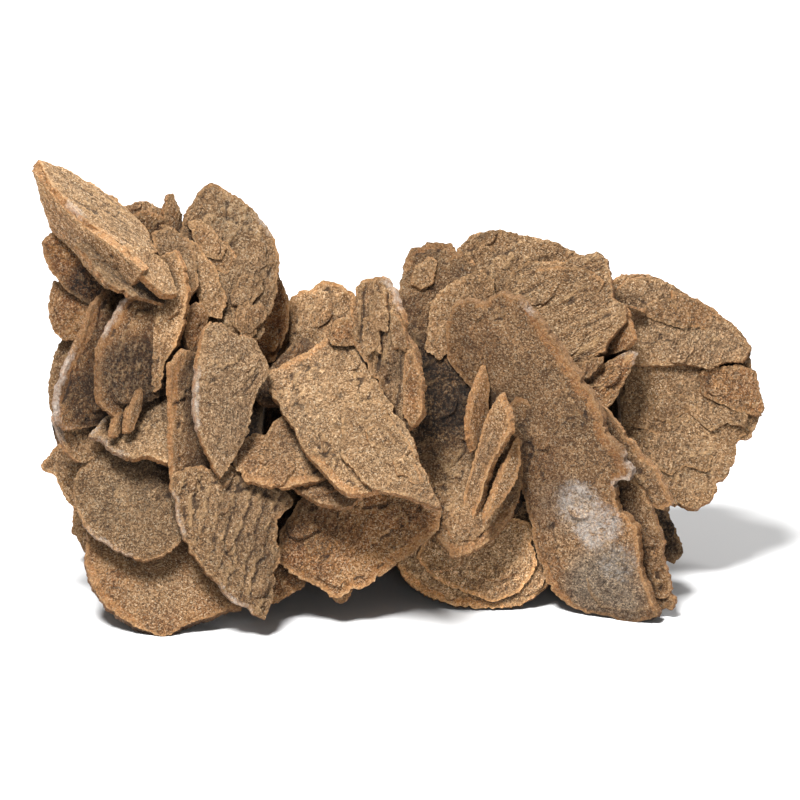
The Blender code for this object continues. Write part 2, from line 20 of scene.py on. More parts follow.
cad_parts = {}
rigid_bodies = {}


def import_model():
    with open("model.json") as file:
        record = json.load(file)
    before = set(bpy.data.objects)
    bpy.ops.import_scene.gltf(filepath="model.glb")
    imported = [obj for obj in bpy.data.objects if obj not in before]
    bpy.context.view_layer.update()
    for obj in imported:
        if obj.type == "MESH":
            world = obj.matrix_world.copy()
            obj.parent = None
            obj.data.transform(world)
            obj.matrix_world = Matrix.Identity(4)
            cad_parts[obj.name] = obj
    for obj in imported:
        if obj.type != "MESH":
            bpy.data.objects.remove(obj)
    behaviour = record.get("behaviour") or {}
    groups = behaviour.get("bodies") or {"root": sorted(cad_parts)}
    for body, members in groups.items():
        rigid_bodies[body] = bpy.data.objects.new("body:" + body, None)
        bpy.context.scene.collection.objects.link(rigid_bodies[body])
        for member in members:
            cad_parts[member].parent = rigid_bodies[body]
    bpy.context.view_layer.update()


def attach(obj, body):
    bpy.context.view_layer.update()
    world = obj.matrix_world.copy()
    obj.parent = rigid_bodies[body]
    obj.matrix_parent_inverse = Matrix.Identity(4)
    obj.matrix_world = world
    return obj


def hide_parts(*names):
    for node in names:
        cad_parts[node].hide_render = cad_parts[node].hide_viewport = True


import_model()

MM = 0.001
LEAN = math.radians(20.0)  # how far the face plane leans back
FLOOR_DROP = 7.9  # height of the face plane's zero point below the floor, mm
CENTRE_X = 0.1  # middle of the finished cluster across, in face coordinates, mm
CENTRE_Y = 11.5  # middle of the finished cluster front to back, mm
FLOOR_BLOCK = (0.4, 0.4, 0.1)  # width, depth and height of the block under the floor, m
ROSETTE_SIDES = 12  # corners of a crystal that is given by its half sizes
ROSETTE_WAVE = 0.07  # how far its corners swing in and out

PICTURE_WIDTH = 0.16  # how much the picture shows across, at the cluster, m
PICTURE_MIDDLE = 47  # middle of the picture, up the face plane, mm
CAMERA_DISTANCE = 3.0  # m

COARSER = 1.0
SEED = 4

FACE_TO_WORLD = (
    Matrix.Translation((-CENTRE_X * MM, -CENTRE_Y * MM, -FLOOR_DROP * MM))
    @ Matrix.Rotation(-LEAN, 4, "X")
    @ Matrix.Scale(MM, 4)
)

# name, yaw, pitch (degrees the face is turned right and up), near, thickness, outline corners (x, v)
FACE_CRYSTALS = [
    ("foot_disc", 0, 15, 18, 4, [
        (-62.4, 19.6), (-63, 14.6), (-61.2, 9), (-57.6, 4.2), (-52.4, 1), (-46.8, -1), (-42, 2),
        (-34.4, 4.6), (-31, 5), (-33, 15), (-40, 27), (-50, 33), (-60, 31)]),
    ("foot_upper_disc", 0, 15, 20.5, 3, [
        (-58, 39), (-62.4, 35.2), (-65.2, 30.6), (-64, 24.4), (-61.6, 20.2), (-57, 17.2), (-50.6, 14.8),
        (-46, 16), (-41, 21), (-43, 33), (-50, 39)]),
    ("left_chip", -20, 0, 12, 2.4, [
        (-71.6, 34), (-67.8, 38.2), (-60, 38), (-58, 30), (-61, 25), (-64.2, 25.4), (-66, 26.4),
        (-68, 30.2), (-68.4, 32.2), (-70.8, 32.6)]),
    ("left_lower_fin", 25, 0, 19.5, 2.6, [
        (-69.2, 43.2), (-67.8, 39.8), (-66.6, 36.2), (-63.2, 34.4), (-60.2, 36), (-56, 41), (-60, 48),
        (-67, 48)]),
    ("white_edged_fin", 35, 0, 20, 3, [
        (-57.4, 70.8), (-61.6, 65.8), (-63.6, 61), (-65.8, 56.2), (-68.2, 49.6), (-69, 45.6),
        (-68.6, 42.8), (-66.6, 40.8), (-61, 41.4), (-54, 44), (-51, 57), (-53, 69)]),
    ("shaded_fin", 30, 0, 22.5, 3, [
        (-51.8, 69.6), (-54.8, 67.2), (-57, 63.4), (-59, 60.4), (-60.6, 57.2), (-60.6, 47), (-59.2, 45),
        (-57, 43.4), (-52, 46), (-45, 49), (-44, 59), (-48, 68)]),
    ("left_valley", -25, 0, 21, 3.2, [
        (-44, 76.8), (-42.2, 72.6), (-41.6, 67.2), (-42.6, 61.8), (-44, 57.6), (-46.4, 54.6),
        (-47, 49.4), (-49.4, 47.8), (-52, 49), (-53, 67), (-49, 74.6)]),
    ("spire_upper", 38, 43, 17, 3, [
        (-72.8, 94), (-67.8, 92.6), (-61.6, 89), (-55.6, 84.8), (-51, 80.6), (-48.6, 75.4), (-52, 74.6),
        (-56.4, 77.4), (-61.6, 80.6), (-66, 84.6), (-70, 89)]),
    ("spire_lower", -45, -22, 19.5, 3, [
        (-72.6, 93.6), (-70.8, 87.2), (-68.6, 81), (-64.8, 77.6), (-60.8, 72.6), (-57.6, 69.4),
        (-53, 69), (-50, 73), (-56.4, 78.4), (-61.6, 81.6), (-66, 85.6), (-70, 90)]),
    ("spire_splinter", 38, 43, 22.5, 2.2, [
        (-64.8, 77.6), (-60.8, 73), (-58.2, 69.8), (-54, 67.6), (-47, 65.6), (-47, 69), (-53, 73.6),
        (-59, 77.6)]),
    ("spire_bud", 30, 25, 25, 2.8, [
        (-54.6, 76.8), (-51, 77.2), (-46.7, 73.8), (-44.4, 67.2), (-47.4, 67.2), (-52.7, 72.2)]),
    ("left_back_upper", -15, -10, 13, 3, [
        (-71.2, 78.8), (-69, 80.6), (-66.6, 80.2), (-61.6, 75), (-56, 69), (-60, 65.4), (-65.4, 68.4),
        (-69, 72.2), (-70.6, 75.6)]),
    ("left_back_middle", -20, 0, 10, 3, [
        (-69, 71), (-65, 70), (-59, 66), (-58, 60), (-66.8, 58.6), (-69, 60.6), (-70, 63.8),
        (-69.8, 67.6)]),
    ("left_back_lower", -15, 0, 7, 3, [
        (-66.8, 60), (-69, 55), (-70.2, 49), (-69.6, 44.6), (-67.6, 39.8), (-60, 39), (-57, 50),
        (-59, 60)]),
    ("crown_disc", 8, 12, 10, 4, [
        (-44, 79.4), (-42.4, 85), (-40, 88.4), (-37.6, 89.8), (-33.4, 87.6), (-30.2, 85.6),
        (-27.2, 82.6), (-25, 79), (-24.2, 73), (-25, 67), (-27.6, 59), (-33, 57), (-39, 60), (-43, 69)]),
    ("amber_backing", 30, 0, 6, 2.6, [
        (-26, 74.6), (-24.2, 71), (-22.2, 66.4), (-22.6, 61), (-25.6, 54.2), (-32, 54), (-32, 69)]),
    ("crown_bud_back", 0, 20, 4, 2.6, [
        (-58.2, 87.8), (-55.2, 86.2), (-50, 86.4), (-47.6, 85.4), (-45, 80), (-50, 74), (-57, 78)]),
    ("crown_bud_front", 0, -10, 10, 2.2, [
        (-53.6, 83.8), (-50, 84.8), (-46.8, 83.8), (-45, 78), (-50, 76)]),
    ("crown_thorn", 25, 0, 10, 2.2, [
        (-47.4, 84.6), (-46.4, 88.2), (-45.6, 88.2), (-43.8, 84), (-44, 77), (-47, 77)]),
    ("valley_splinter", 35, 0, 19, 2.2, [
        (-40.2, 66.4), (-38.6, 64.6), (-38.8, 61), (-38.8, 56), (-41.8, 55), (-43.5, 59.6), (-42.8, 65)]),
    ("standing_blade", 20, 0, 25, 4, [
        (-38, 63), (-34.8, 61.6), (-33, 60), (-29.2, 59.2), (-26.8, 54.6), (-26.4, 52.4), (-28.8, 49.4),
        (-29.8, 46.2), (-30.6, 40.2), (-33.2, 35), (-36, 31), (-37.4, 33), (-39, 37), (-40.6, 41),
        (-41.4, 45.6), (-41.2, 51), (-40.4, 56), (-39.2, 61)]),
    ("deep_fin", 40, 0, 22, 3, [
        (-43.2, 57), (-46.4, 54), (-46, 47.4), (-46, 38.6), (-45.6, 31.4), (-39, 28), (-34, 32),
        (-34, 47), (-38, 56)]),
    ("flaky_blade", 10, 5, 23.5, 4, [
        (-45.8, 33), (-40, 34), (-35.6, 34), (-30, 34), (-24, 31), (-21.4, 26.4), (-24.4, 23),
        (-24.2, 15), (-24.8, 11.4), (-26, 8.6), (-26.8, 3.2), (-30, 5), (-34.4, 7.6), (-39, 13),
        (-42.8, 17.8), (-44.8, 23)]),
    ("shelf_blade", 0, 30, 21.5, 2.6, [
        (-62, 39.4), (-59.4, 38.6), (-57, 36), (-53.2, 34.8), (-50.2, 35.6), (-46.4, 34), (-43, 37),
        (-44, 46), (-49, 49), (-54, 46), (-59, 43)]),
    ("shelf_fin_left", 40, 0, 24, 1.4, [
        (-57.8, 39.6), (-57, 43.4), (-55, 48.6), (-54.2, 46.4), (-55, 42), (-56.4, 39.4)]),
    ("shelf_fin_right", 40, 0, 24, 1.4, [
        (-54.9, 40.4), (-54.6, 44), (-52.6, 48.8), (-51.2, 49.6), (-51.6, 45.4), (-53.4, 40.6)]),
    ("back_disc_middle", 0, 12, 0.5, 3.6, [
        (-23, 61), (-22.4, 66.4), (-20.2, 68.8), (-18, 68.8), (-15.2, 71), (-12.4, 70.2), (-9.4, 68.2),
        (-6, 61), (-9, 50), (-20, 48), (-25, 55)]),
    ("ribbed_blade", -28, 0, 24, 3, [
        (-9.4, 65.6), (-7.2, 70.8), (-2.6, 71.4), (-0.6, 68.2), (1.4, 62.4), (3.6, 57), (4.6, 52.6),
        (4.6, 43.8), (2, 41), (-0.2, 42), (-4, 50), (-8.6, 57.6)]),
    ("ribbed_bud", 0, 0, 19.4, 2.4, [
        (-14.6, 60), (-13, 62.6), (-10.6, 63.8), (-8, 62.8), (-6.6, 59.6), (-9.6, 57.6), (-13.6, 57.8)]),
    ("table_blade", -8, 25, 25.5, 4, [
        (-26.2, 51.8), (-23.2, 53.6), (-17.4, 56.4), (-13.2, 59.2), (-9.8, 58.6), (-7.4, 54),
        (-1.8, 46.4), (2.4, 40.2), (4.4, 33), (8.6, 25), (6, 25.8), (1.4, 27.2), (-3.6, 28.4),
        (-7.2, 27.6), (-10.6, 27.6), (-13.2, 30), (-16.2, 33.8), (-19, 36.8), (-21.6, 41.4),
        (-23.6, 44.6), (-25.8, 48.6)]),
    ("low_shelf", 0, 32, 22, 2.8, [
        (-33, 33.8), (-32.8, 36.8), (-29, 39.8), (-26.6, 39.4), (-23.2, 43.4), (-19, 43), (-14, 38),
        (-12.8, 31.8), (-16.6, 30.4), (-21.6, 29.2), (-25.4, 29.2), (-30.4, 30.4)]),
    ("hanging_blade", 0, 5, 17.5, 3.6, [
        (-24.4, 15), (-24, 20), (-20, 27), (-11, 31), (2, 30), (8.2, 24.6), (7.6, 21), (3, 17),
        (-2, 13), (-7, 10), (-13, 7.6), (-15, 9), (-20, 11.4)]),
    ("amber_tail", 10, 5, 15.4, 2.6, [
        (-26, 6.2), (-24.6, 6.6), (-19.6, 9.4), (-16, 14), (-20, 19), (-26, 16), (-27.5, 10)]),
    ("tail_chip", 0, 0, 16.6, 2.2, [
        (-15.4, 10), (-12.8, 6.8), (-11, 6.6), (-9, 10), (-10, 14), (-14, 14)]),
    ("tall_face", 0, 6, 10, 4, [
        (1, 73.6), (1.8, 76), (3.6, 77.8), (7, 78.4), (10.2, 78.2), (11.6, 76), (15, 72.8), (19, 70.8),
        (22, 63), (20, 43), (12, 27), (5, 27), (1, 39), (-2, 53), (-0.4, 67)]),
    ("lower_lobe", 0, 14, 14.8, 3.2, [
        (6.2, 21), (8.2, 17.8), (9.8, 15.4), (11.2, 15), (14, 16.2), (18.4, 19), (22.2, 23.6),
        (24.2, 28.8), (24.6, 36), (21, 47), (14, 49), (7, 41), (5, 29)]),
    ("great_blade", -20, -12, 16, 4.6, [
        (9.6, 62.6), (11.2, 66.4), (13.2, 67.6), (17.4, 66.4), (20.8, 68.6), (23.6, 68.2), (27.8, 63.6),
        (32.8, 57.2), (37.6, 49.6), (40.8, 45), (41.6, 41), (45, 36.6), (46.8, 33.4), (46.2, 31.2),
        (43.4, 31.4), (43.6, 26.8), (47.8, 21.4), (48.2, 13.8), (50.4, 8), (52, 4.4), (46.6, 2.6),
        (41.6, 4), (36.8, 4.8), (32.6, 7.2), (29.8, 10), (27, 21), (22, 39), (16, 48), (10, 55)]),
    ("notch_fin_left", 40, 0, 17.5, 1.6, [
        (16.7, 54.4), (17.5, 50), (17.3, 45), (16, 40), (14.3, 36.4), (13.2, 39), (13, 43), (14, 48),
        (15.5, 52)]),
    ("notch_fin_middle", -38, 0, 19, 1.8, [
        (20.5, 48.6), (22, 44.5), (22.5, 41), (19, 35), (16.5, 27), (15, 23), (12, 18.4), (11.5, 21),
        (13.5, 29), (15, 35), (17, 42), (19, 46.6)]),
    ("notch_fin_right", 24, 0, 19.6, 1.5, [
        (23.5, 40), (23.9, 35), (23, 31), (20.4, 27), (16.6, 22.4), (16.4, 24.6), (19, 31), (21, 36),
        (22.4, 39)]),
    ("right_foot", 0, 5, 7.5, 4, [
        (-0.8, 14.6), (0, 12), (2.2, 10), (6.2, 7.6), (9.8, 6.4), (14.4, 5.2), (17.6, 5.2), (21.2, 5.6),
        (23.8, 5.6), (26.2, 7.2), (29.4, 10), (31.2, 15), (30, 23), (20, 31), (8, 27), (2, 20)]),
    ("tucked_disc", 0, 0, 6, 3, [
        (46, 29), (52.8, 25.8), (54.8, 22), (56.4, 18.2), (56.6, 16.2), (54.8, 14.2), (52.8, 14.8),
        (40, 15), (38, 24)]),
    ("high_back_disc", 0, 12, -2, 3.6, [
        (11, 73), (11.4, 77.4), (14.4, 80.6), (18.2, 81.4), (23.6, 80.2), (30.4, 78.6), (36.6, 75.6),
        (40, 69), (34, 60), (20, 58), (12, 64)]),
    ("slanted_slab", -12, 10, 7, 4, [
        (21, 69), (23, 72.6), (25.8, 74.2), (30.4, 74.6), (37.4, 75.6), (39.6, 76.4), (41.6, 74.8),
        (42.6, 70.6), (43, 67), (45.4, 65.6), (45.8, 62.6), (42.4, 58.4), (41.4, 56.4), (36, 53),
        (28, 54), (22, 61)]),
    ("slab_end", -35, 0, 7.5, 3, [
        (41, 66.6), (45.8, 65.2), (47.4, 58.8), (45.4, 56.8), (40, 55), (38, 61)]),
    ("wedge_block", 10, 10, 9, 5, [
        (35, 50), (40.8, 54.4), (45.6, 56.8), (47.4, 56.4), (46, 53), (42.2, 46), (38, 43)]),
    ("right_disc", 8, 5, -3, 4.6, [
        (40, 70), (44.2, 72.6), (49, 72), (54.2, 70.4), (58, 67.6), (62.4, 65.2), (66.8, 62),
        (69.2, 59.4), (70.4, 57), (69.6, 55), (71.2, 52.6), (72, 48.6), (73, 45), (71.4, 43), (70, 40),
        (66.8, 37.6), (66.8, 34), (64.2, 30.4), (62.8, 27.6), (58.8, 25.2), (54.2, 26), (47, 29),
        (40, 43), (38, 59)]),
    ("right_upper_slab", 6, 6, -1.4, 4, [
        (41.2, 67), (45, 71), (49, 71.8), (54.2, 70.2), (58, 67.4), (62.4, 65), (66.8, 61.8),
        (70.2, 57), (68.4, 54.6), (65, 54.2), (62, 53.2), (58, 54.2), (52, 53.6), (45, 53.4), (40, 60)]),
    ("right_middle_slab", 8, 5, -1.2, 3.4, [
        (42.4, 49.6), (50.2, 50.8), (58, 49), (65.4, 46.8), (71, 44), (70, 40.6), (66.8, 37.8),
        (61.2, 38), (58.4, 37), (55.6, 37.8), (52.6, 39.4), (47.8, 41.4), (43.6, 42)]),
]

# Growth layers and parallel crystals: name, host, distance in front of the host, thickness, corners
GROWTH_LAYERS = [
    ("crown_layer_middle", "crown_disc", 2.6, 2.6, [
        (-48, 82), (-45, 81), (-40.8, 78), (-37, 73), (-34.2, 67), (-35.6, 62.6), (-39, 63.4),
        (-41, 69), (-44, 76)]),
    ("crown_layer_outer", "crown_disc", 4.6, 2.6, [
        (-49.6, 80.2), (-45.6, 81.4), (-42, 78.6), (-40.4, 74.6), (-40, 69), (-42.4, 66.8), (-46, 72),
        (-49, 77)]),
    ("crown_layer_upper", "crown_disc", 2.2, 2, [
        (-42.8, 82.6), (-40, 83), (-37.2, 80.6), (-34.6, 77), (-35.6, 74.6), (-40, 75.4)]),
    ("crown_layer_right", "crown_disc", 1.8, 2, [
        (-31.6, 72.2), (-27.6, 71.6), (-27, 69), (-29.6, 65.8), (-27.6, 61.8), (-30, 59.4), (-33.6, 61),
        (-34, 68)]),
    ("ribbed_layer", "ribbed_blade", 0.9, 1.8, [
        (1.4, 58.4), (3.2, 56.6), (4.8, 51), (4.8, 44.4), (2.8, 41.2), (0.8, 44), (1, 51)]),
    ("table_layer", "table_blade", 2.4, 2, [
        (-11.8, 46), (-11.6, 42.6), (-11.2, 39.6), (-12, 37), (-10.8, 34.6), (-8.8, 32.8), (-7.6, 31),
        (-5.4, 29.4), (-2, 28.2), (1.4, 27.6), (8.2, 25.4), (4.6, 33), (1.6, 39), (-4, 46.6)]),
    ("table_under_layer", "table_blade", -2.2, 2.2, [
        (-25.8, 53.4), (-21.6, 57.8), (-19, 59.4), (-17, 58), (-14, 53), (-20, 46), (-25, 49)]),
    ("table_root", "table_blade", -4.6, 2.6, [
        (-29.6, 48), (-28.8, 50.4), (-26.2, 52.6), (-20, 56.6), (-15, 51), (-20, 45), (-27.6, 46)]),
    ("low_shelf_under", "low_shelf", -1.8, 2.2, [
        (-23, 29.8), (-20.8, 28.8), (-16.2, 26.2), (-12.4, 25.4), (-9.4, 25.6), (-6.8, 27.6), (-8, 34),
        (-17, 36)]),
    ("tall_layer_left", "tall_face", 1.9, 2, [
        (2, 70), (2.6, 73.4), (6, 75.6), (7.6, 74.6), (6.6, 70), (4, 68.6)]),
    ("tall_layer_right", "tall_face", 2.1, 2, [
        (6, 67), (10.4, 70.4), (16, 73), (18.6, 70.8), (19, 67), (14, 61), (8, 55), (5, 57)]),
    ("right_foot_layer", "right_foot", 1.9, 2, [
        (3.2, 15.8), (5.6, 12.6), (8.8, 9.8), (13.2, 8.4), (18.8, 6.6), (24, 8.6), (28, 14), (26, 23),
        (12, 24), (5, 21)]),
    ("second_great_blade", "great_blade", -4.4, 3.2, [
        (32, 55), (36, 51), (38.4, 48), (42, 44.8), (45.8, 40), (49.2, 35.4), (51.2, 33.4),
        (53.2, 29.2), (54.6, 26.6), (52.4, 25.2), (48, 27), (40, 29), (32, 41)]),
    ("lower_right_layer", "great_blade", -3.2, 3, [
        (45, 34), (49, 29.4), (50.6, 25), (52.2, 20.6), (53, 14.2), (55.2, 7.6), (54.8, 5.2),
        (53.2, 5.4), (51, 4.6), (47, 9), (43, 19), (41, 29)]),
    ("wedge_chip", "wedge_block", 3.4, 2.2, [
        (33, 53.8), (40.4, 55.8), (40.6, 54.6), (37.6, 51.4), (34, 50)]),
    ("right_dome", "right_upper_slab", 1.2, 2.6, [
        (47.8, 64.8), (49.8, 66.8), (53.4, 67.6), (55.8, 66.8), (57.8, 64.4), (58.4, 62), (57.2, 60.8),
        (54.2, 61.6), (49.8, 63)]),
    ("right_edge_lobe", "right_disc", 2.2, 2.8, [
        (60, 53), (68.4, 54.4), (71.2, 52.6), (72, 49), (73, 45), (71.4, 43.4), (66, 45), (60, 48)]),
    ("right_small_layer", "right_middle_slab", 1.2, 1.8, [
        (49.2, 45), (51, 43), (53.8, 42.4), (57, 44.2), (60, 45.4), (58, 48), (52, 48.4)]),
]

# name, yaw, pitch, centre (x, near, v), half width and half height, thickness
CORE_CRYSTALS = [
    ("left_core", 0, 0, (-47, -2, 44), (15, 22), 15),
    ("left_fin_outer", 78, 0, (-57, -1, 54), (18, 24), 3.6),
    ("left_fin_middle", 100, 0, (-47, 2, 54), (20, 29), 4),
    ("left_fin_inner", 65, 0, (-37, 0, 52), (18, 27), 4),
    ("left_fin_low", 95, 0, (-50, 1, 25), (20, 19), 4),
    ("left_shelf_high", 170, 72, (-46, -3, 63), (18, 16), 3.6),
    ("left_shelf_low", 10, 80, (-45, 2, 37), (19, 19), 3.6),
    ("left_back_high", 176, 58, (-47, -15, 61), (16, 17), 3.6),
    ("left_back_side", 238, 18, (-60, -11, 51), (14, 20), 3.6),
    ("left_back_tall", 150, 9, (-37, -19, 47), (12, 25), 4),
    ("left_back_foot", 200, 2, (-54, -16, 28), (13, 18), 3.6),
    ("left_back_fin", 114, 12, (-49, -22, 42), (11, 19), 3.4),
    ("left_back_cross", 184, 34, (-41, -24, 30), (12, 13), 3.2),
    ("left_back_low_fin", 72, -6, (-41, -21, 21), (10, 16), 3.4),
    ("valley_core", 0, 0, (-30, -5, 35), (9, 17), 12),
    ("middle_core", 0, 0, (-12, -3, 36), (19, 17), 14),
    ("middle_fin_left", 85, 0, (-25, -4, 41), (14, 20), 3.6),
    ("middle_fin_centre", 105, 0, (-12, 1, 40), (20, 24), 4),
    ("middle_fin_right", 72, 0, (1, 0, 42), (18, 26), 4),
    ("middle_shelf_high", 200, 78, (-10, -4, 51), (22, 15), 3.6),
    ("middle_shelf_low", 10, 84, (-3, 0, 24), (28, 16), 4),
    ("middle_back_high", 194, 48, (-15, -14, 48), (16, 16), 3.6),
    ("middle_back_right", 208, 12, (2, -18, 37), (13, 20), 3.6),
    ("middle_back_foot", 150, 16, (-23, -19, 30), (13, 19), 4),
    ("middle_back_fin", 98, 10, (-8, -21, 33), (12, 18), 3.4),
    ("middle_back_shelf", 176, 64, (-13, -20, 23), (15, 11), 3.2),
    ("right_core", 0, 0, (27, -6, 42), (19, 20), 14),
    ("right_tip_core", 8, 5, (48, -9, 46), (13, 15), 8),
    ("right_fin_left", 100, 0, (14, -2, 47), (17, 27), 4),
    ("right_fin_centre", 70, 0, (27, -3, 44), (17, 28), 4),
    ("right_fin_outer", 105, 0, (40, -6, 44), (15, 27), 3.6),
    ("right_fin_tip", 80, 0, (54, -9.5, 50), (7, 16), 3.2),
    ("right_fin_low", 100, 0, (38, -2, 24), (13, 17), 4),
    ("right_shelf_high", 175, 72, (33, -7, 62), (20, 15), 3.6),
    ("right_shelf_low", 5, 80, (41, -9, 38), (15, 11), 3.6),
    ("right_back_left", 160, 34, (22, -17, 53), (14, 19), 3.6),
    ("right_back_outer", 214, 12, (43, -17, 46), (13, 20), 3.6),
    ("right_back_tip", 150, 15, (58, -15, 49), (11, 17), 3.2),
    ("right_back_foot", 164, 12, (31, -19, 30), (15, 18), 4),
    ("right_back_corner", 220, 8, (47, -13, 31), (11, 17), 3.6),
    ("right_back_fin", 104, -8, (34, -22, 45), (12, 20), 3.4),
    ("right_back_scale", 188, 52, (50, -19, 57), (11, 10), 3),
    ("right_back_low", 196, 42, (17, -21, 28), (12, 12), 3.2),
]

# Broken flakes too small for the solid: name, host, lift, (yaw, pitch) from the host, thickness, corners
FINE_LAYERS = [
    ("great_flake", "great_blade", 1.5, (6, -5), 1.5, [
        (21.6, 45.6), (23, 47.8), (25.4, 47), (27, 44.6), (29.8, 42.2), (31.4, 39.4), (29.8, 38.6),
        (27.6, 40), (24.4, 37.6), (22, 41)]),
    ("great_flake_low", "great_blade", 1.4, (5, 5), 1.4, [
        (37, 15), (41, 16.6), (45, 14), (47.4, 9), (45, 5), (40, 5.6), (37.4, 9)]),
    ("crown_flake_low", "crown_disc", 1.9, (7, -4), 1.4, [
        (-32.6, 66.4), (-30.6, 67.4), (-30, 66), (-27.4, 66.6), (-26.4, 64.4), (-27.2, 62.4),
        (-28.8, 61.8), (-28.4, 59.8), (-31, 58.6), (-33, 61.6)]),
    ("crown_flake_side", "crown_disc", 1.7, (8, -5), 1.7, [
        (-40.4, 77.6), (-37.8, 79.4), (-34.4, 78.2), (-32.4, 75.4), (-32.4, 71.8), (-35, 72),
        (-39, 74)]),
    ("table_flake_one", "table_blade", 3.2, (5, -6), 1.3, [
        (-7, 41), (-4.4, 42.2), (-1.6, 40), (0.2, 36.4), (-1.6, 35.2), (-3.4, 37), (-6, 37.6)]),
    ("table_flake_two", "table_blade", 3.4, (6, -5), 1.3, [
        (-1.4, 35), (0.8, 36.2), (3.4, 34), (4.8, 30.4), (2.8, 30), (1.4, 31.6), (-0.6, 32)]),
    ("ribbed_feather_one", "ribbed_blade", 1.8, (6, 3), 1.3, [
        (-4.8, 68.6), (-2.8, 68), (-2, 64), (-2.2, 60.2), (-3.6, 60.8), (-4.8, 60.4), (-5.8, 64.6)]),
    ("ribbed_feather_two", "ribbed_blade", 1.9, (6, 3), 1.3, [
        (-7, 63.4), (-5.2, 63.8), (-3.8, 60), (-3.6, 56), (-4.8, 56.8), (-6.2, 56), (-7.4, 59.4)]),
    ("ribbed_feather_three", "ribbed_blade", 1.7, (6, 3), 1.3, [
        (-1.6, 64.4), (0, 63.4), (1.8, 58.8), (1.4, 56.2), (0, 57.4), (-1.2, 57), (-2, 61)]),
    ("disc_scale_one", "right_disc", 1.8, (0, 6), 1.5, [
        (46, 40), (52, 40.6), (58, 39), (62.4, 35.6), (61.4, 32.4), (57, 33.4), (54.4, 31.6), (50, 33.4),
        (47, 36)]),
    ("disc_scale_two", "right_middle_slab", 1.5, (-3, 5), 1.4, [
        (58, 48), (64, 47.6), (69.6, 44.4), (69, 41.4), (65.4, 42.4), (62.4, 40.8), (58.6, 43.4)]),
    ("slab_ledge", "right_upper_slab", 1.4, (4, -5), 1.5, [
        (54, 69), (58.6, 67.4), (63, 65), (67.4, 61.4), (68.6, 58.4), (65, 58.8), (61, 60.8),
        (57.2, 61.4), (54.6, 65)]),
    ("slanted_ledge", "slanted_slab", 1.5, (-4, -5), 1.4, [
        (25, 72.6), (31.4, 73.6), (37, 73.4), (41, 70.6), (39.4, 67.4), (35.6, 68.4), (32.4, 66),
        (28, 68)]),
    ("lobe_ledge", "lower_lobe", 1.4, (4, -5), 1.4, [
        (8.4, 22.6), (10.8, 18.6), (14.8, 18.8), (18.6, 22.2), (20.6, 26), (17.4, 28.4), (12, 26)]),
]

# The parts of the cluster, each grown together in one piece
PARTS = {
    "rose_left_front": [
        "left_core", "foot_disc", "foot_upper_disc", "left_chip", "left_lower_fin", "white_edged_fin",
        "shaded_fin", "left_back_middle", "left_back_lower", "shelf_blade", "shelf_fin_left",
        "shelf_fin_right", "left_fin_outer", "left_fin_low", "left_shelf_low"],
    "rose_spire": [
        "left_fin_middle", "left_valley", "spire_upper", "spire_lower",
        "spire_splinter", "spire_bud",
        "left_back_upper", "crown_bud_back", "crown_bud_front", "crown_thorn", "left_shelf_high",
        "left_fin_inner"],
    "rose_crown": [
        "valley_core", "crown_disc", "crown_layer_middle", "crown_layer_outer", "crown_layer_upper",
        "crown_layer_right", "crown_flake_low", "crown_flake_side", "amber_backing", "valley_splinter",
        "standing_blade", "deep_fin", "flaky_blade", "middle_fin_left"],
    "rose_left_back": [
        "left_back_tall", "left_back_high", "left_back_side", "left_back_foot", "left_back_fin",
        "left_back_cross", "left_back_low_fin"],
    "rose_middle_front": [
        "middle_core", "back_disc_middle", "ribbed_blade", "ribbed_layer", "ribbed_bud",
        "ribbed_feather_one", "ribbed_feather_two", "ribbed_feather_three", "table_blade",
        "table_layer", "table_under_layer", "table_root", "table_flake_one", "table_flake_two",
        "low_shelf", "low_shelf_under", "hanging_blade", "amber_tail",
        "tail_chip", "middle_shelf_high", "middle_shelf_low", "middle_fin_centre",
        "middle_fin_right"],
    "rose_middle_back": [
        "middle_back_foot", "middle_back_high", "middle_back_right", "middle_back_fin",
        "middle_back_shelf", "right_back_low"],
    "rose_great_blade": [
        "right_core", "tall_face", "tall_layer_left", "tall_layer_right", "lower_lobe", "lobe_ledge",
        "great_blade", "great_flake", "great_flake_low", "second_great_blade",
        "lower_right_layer", "notch_fin_left", "notch_fin_middle", "notch_fin_right", "right_foot",
        "right_foot_layer", "tucked_disc", "right_fin_left", "right_fin_low"],
    "rose_right": [
        "right_tip_core", "high_back_disc", "slanted_slab", "slanted_ledge", "slab_end", "wedge_block",
        "wedge_chip", "right_disc", "right_upper_slab", "right_middle_slab", "right_dome",
        "right_edge_lobe", "right_small_layer", "disc_scale_one", "disc_scale_two",
        "slab_ledge", "right_fin_centre", "right_fin_outer", "right_fin_tip",
        "right_shelf_high", "right_shelf_low"],
    "rose_right_back": [
        "right_back_left", "right_back_outer", "right_back_tip", "right_back_foot",
        "right_back_corner", "right_back_fin", "right_back_scale"],
}

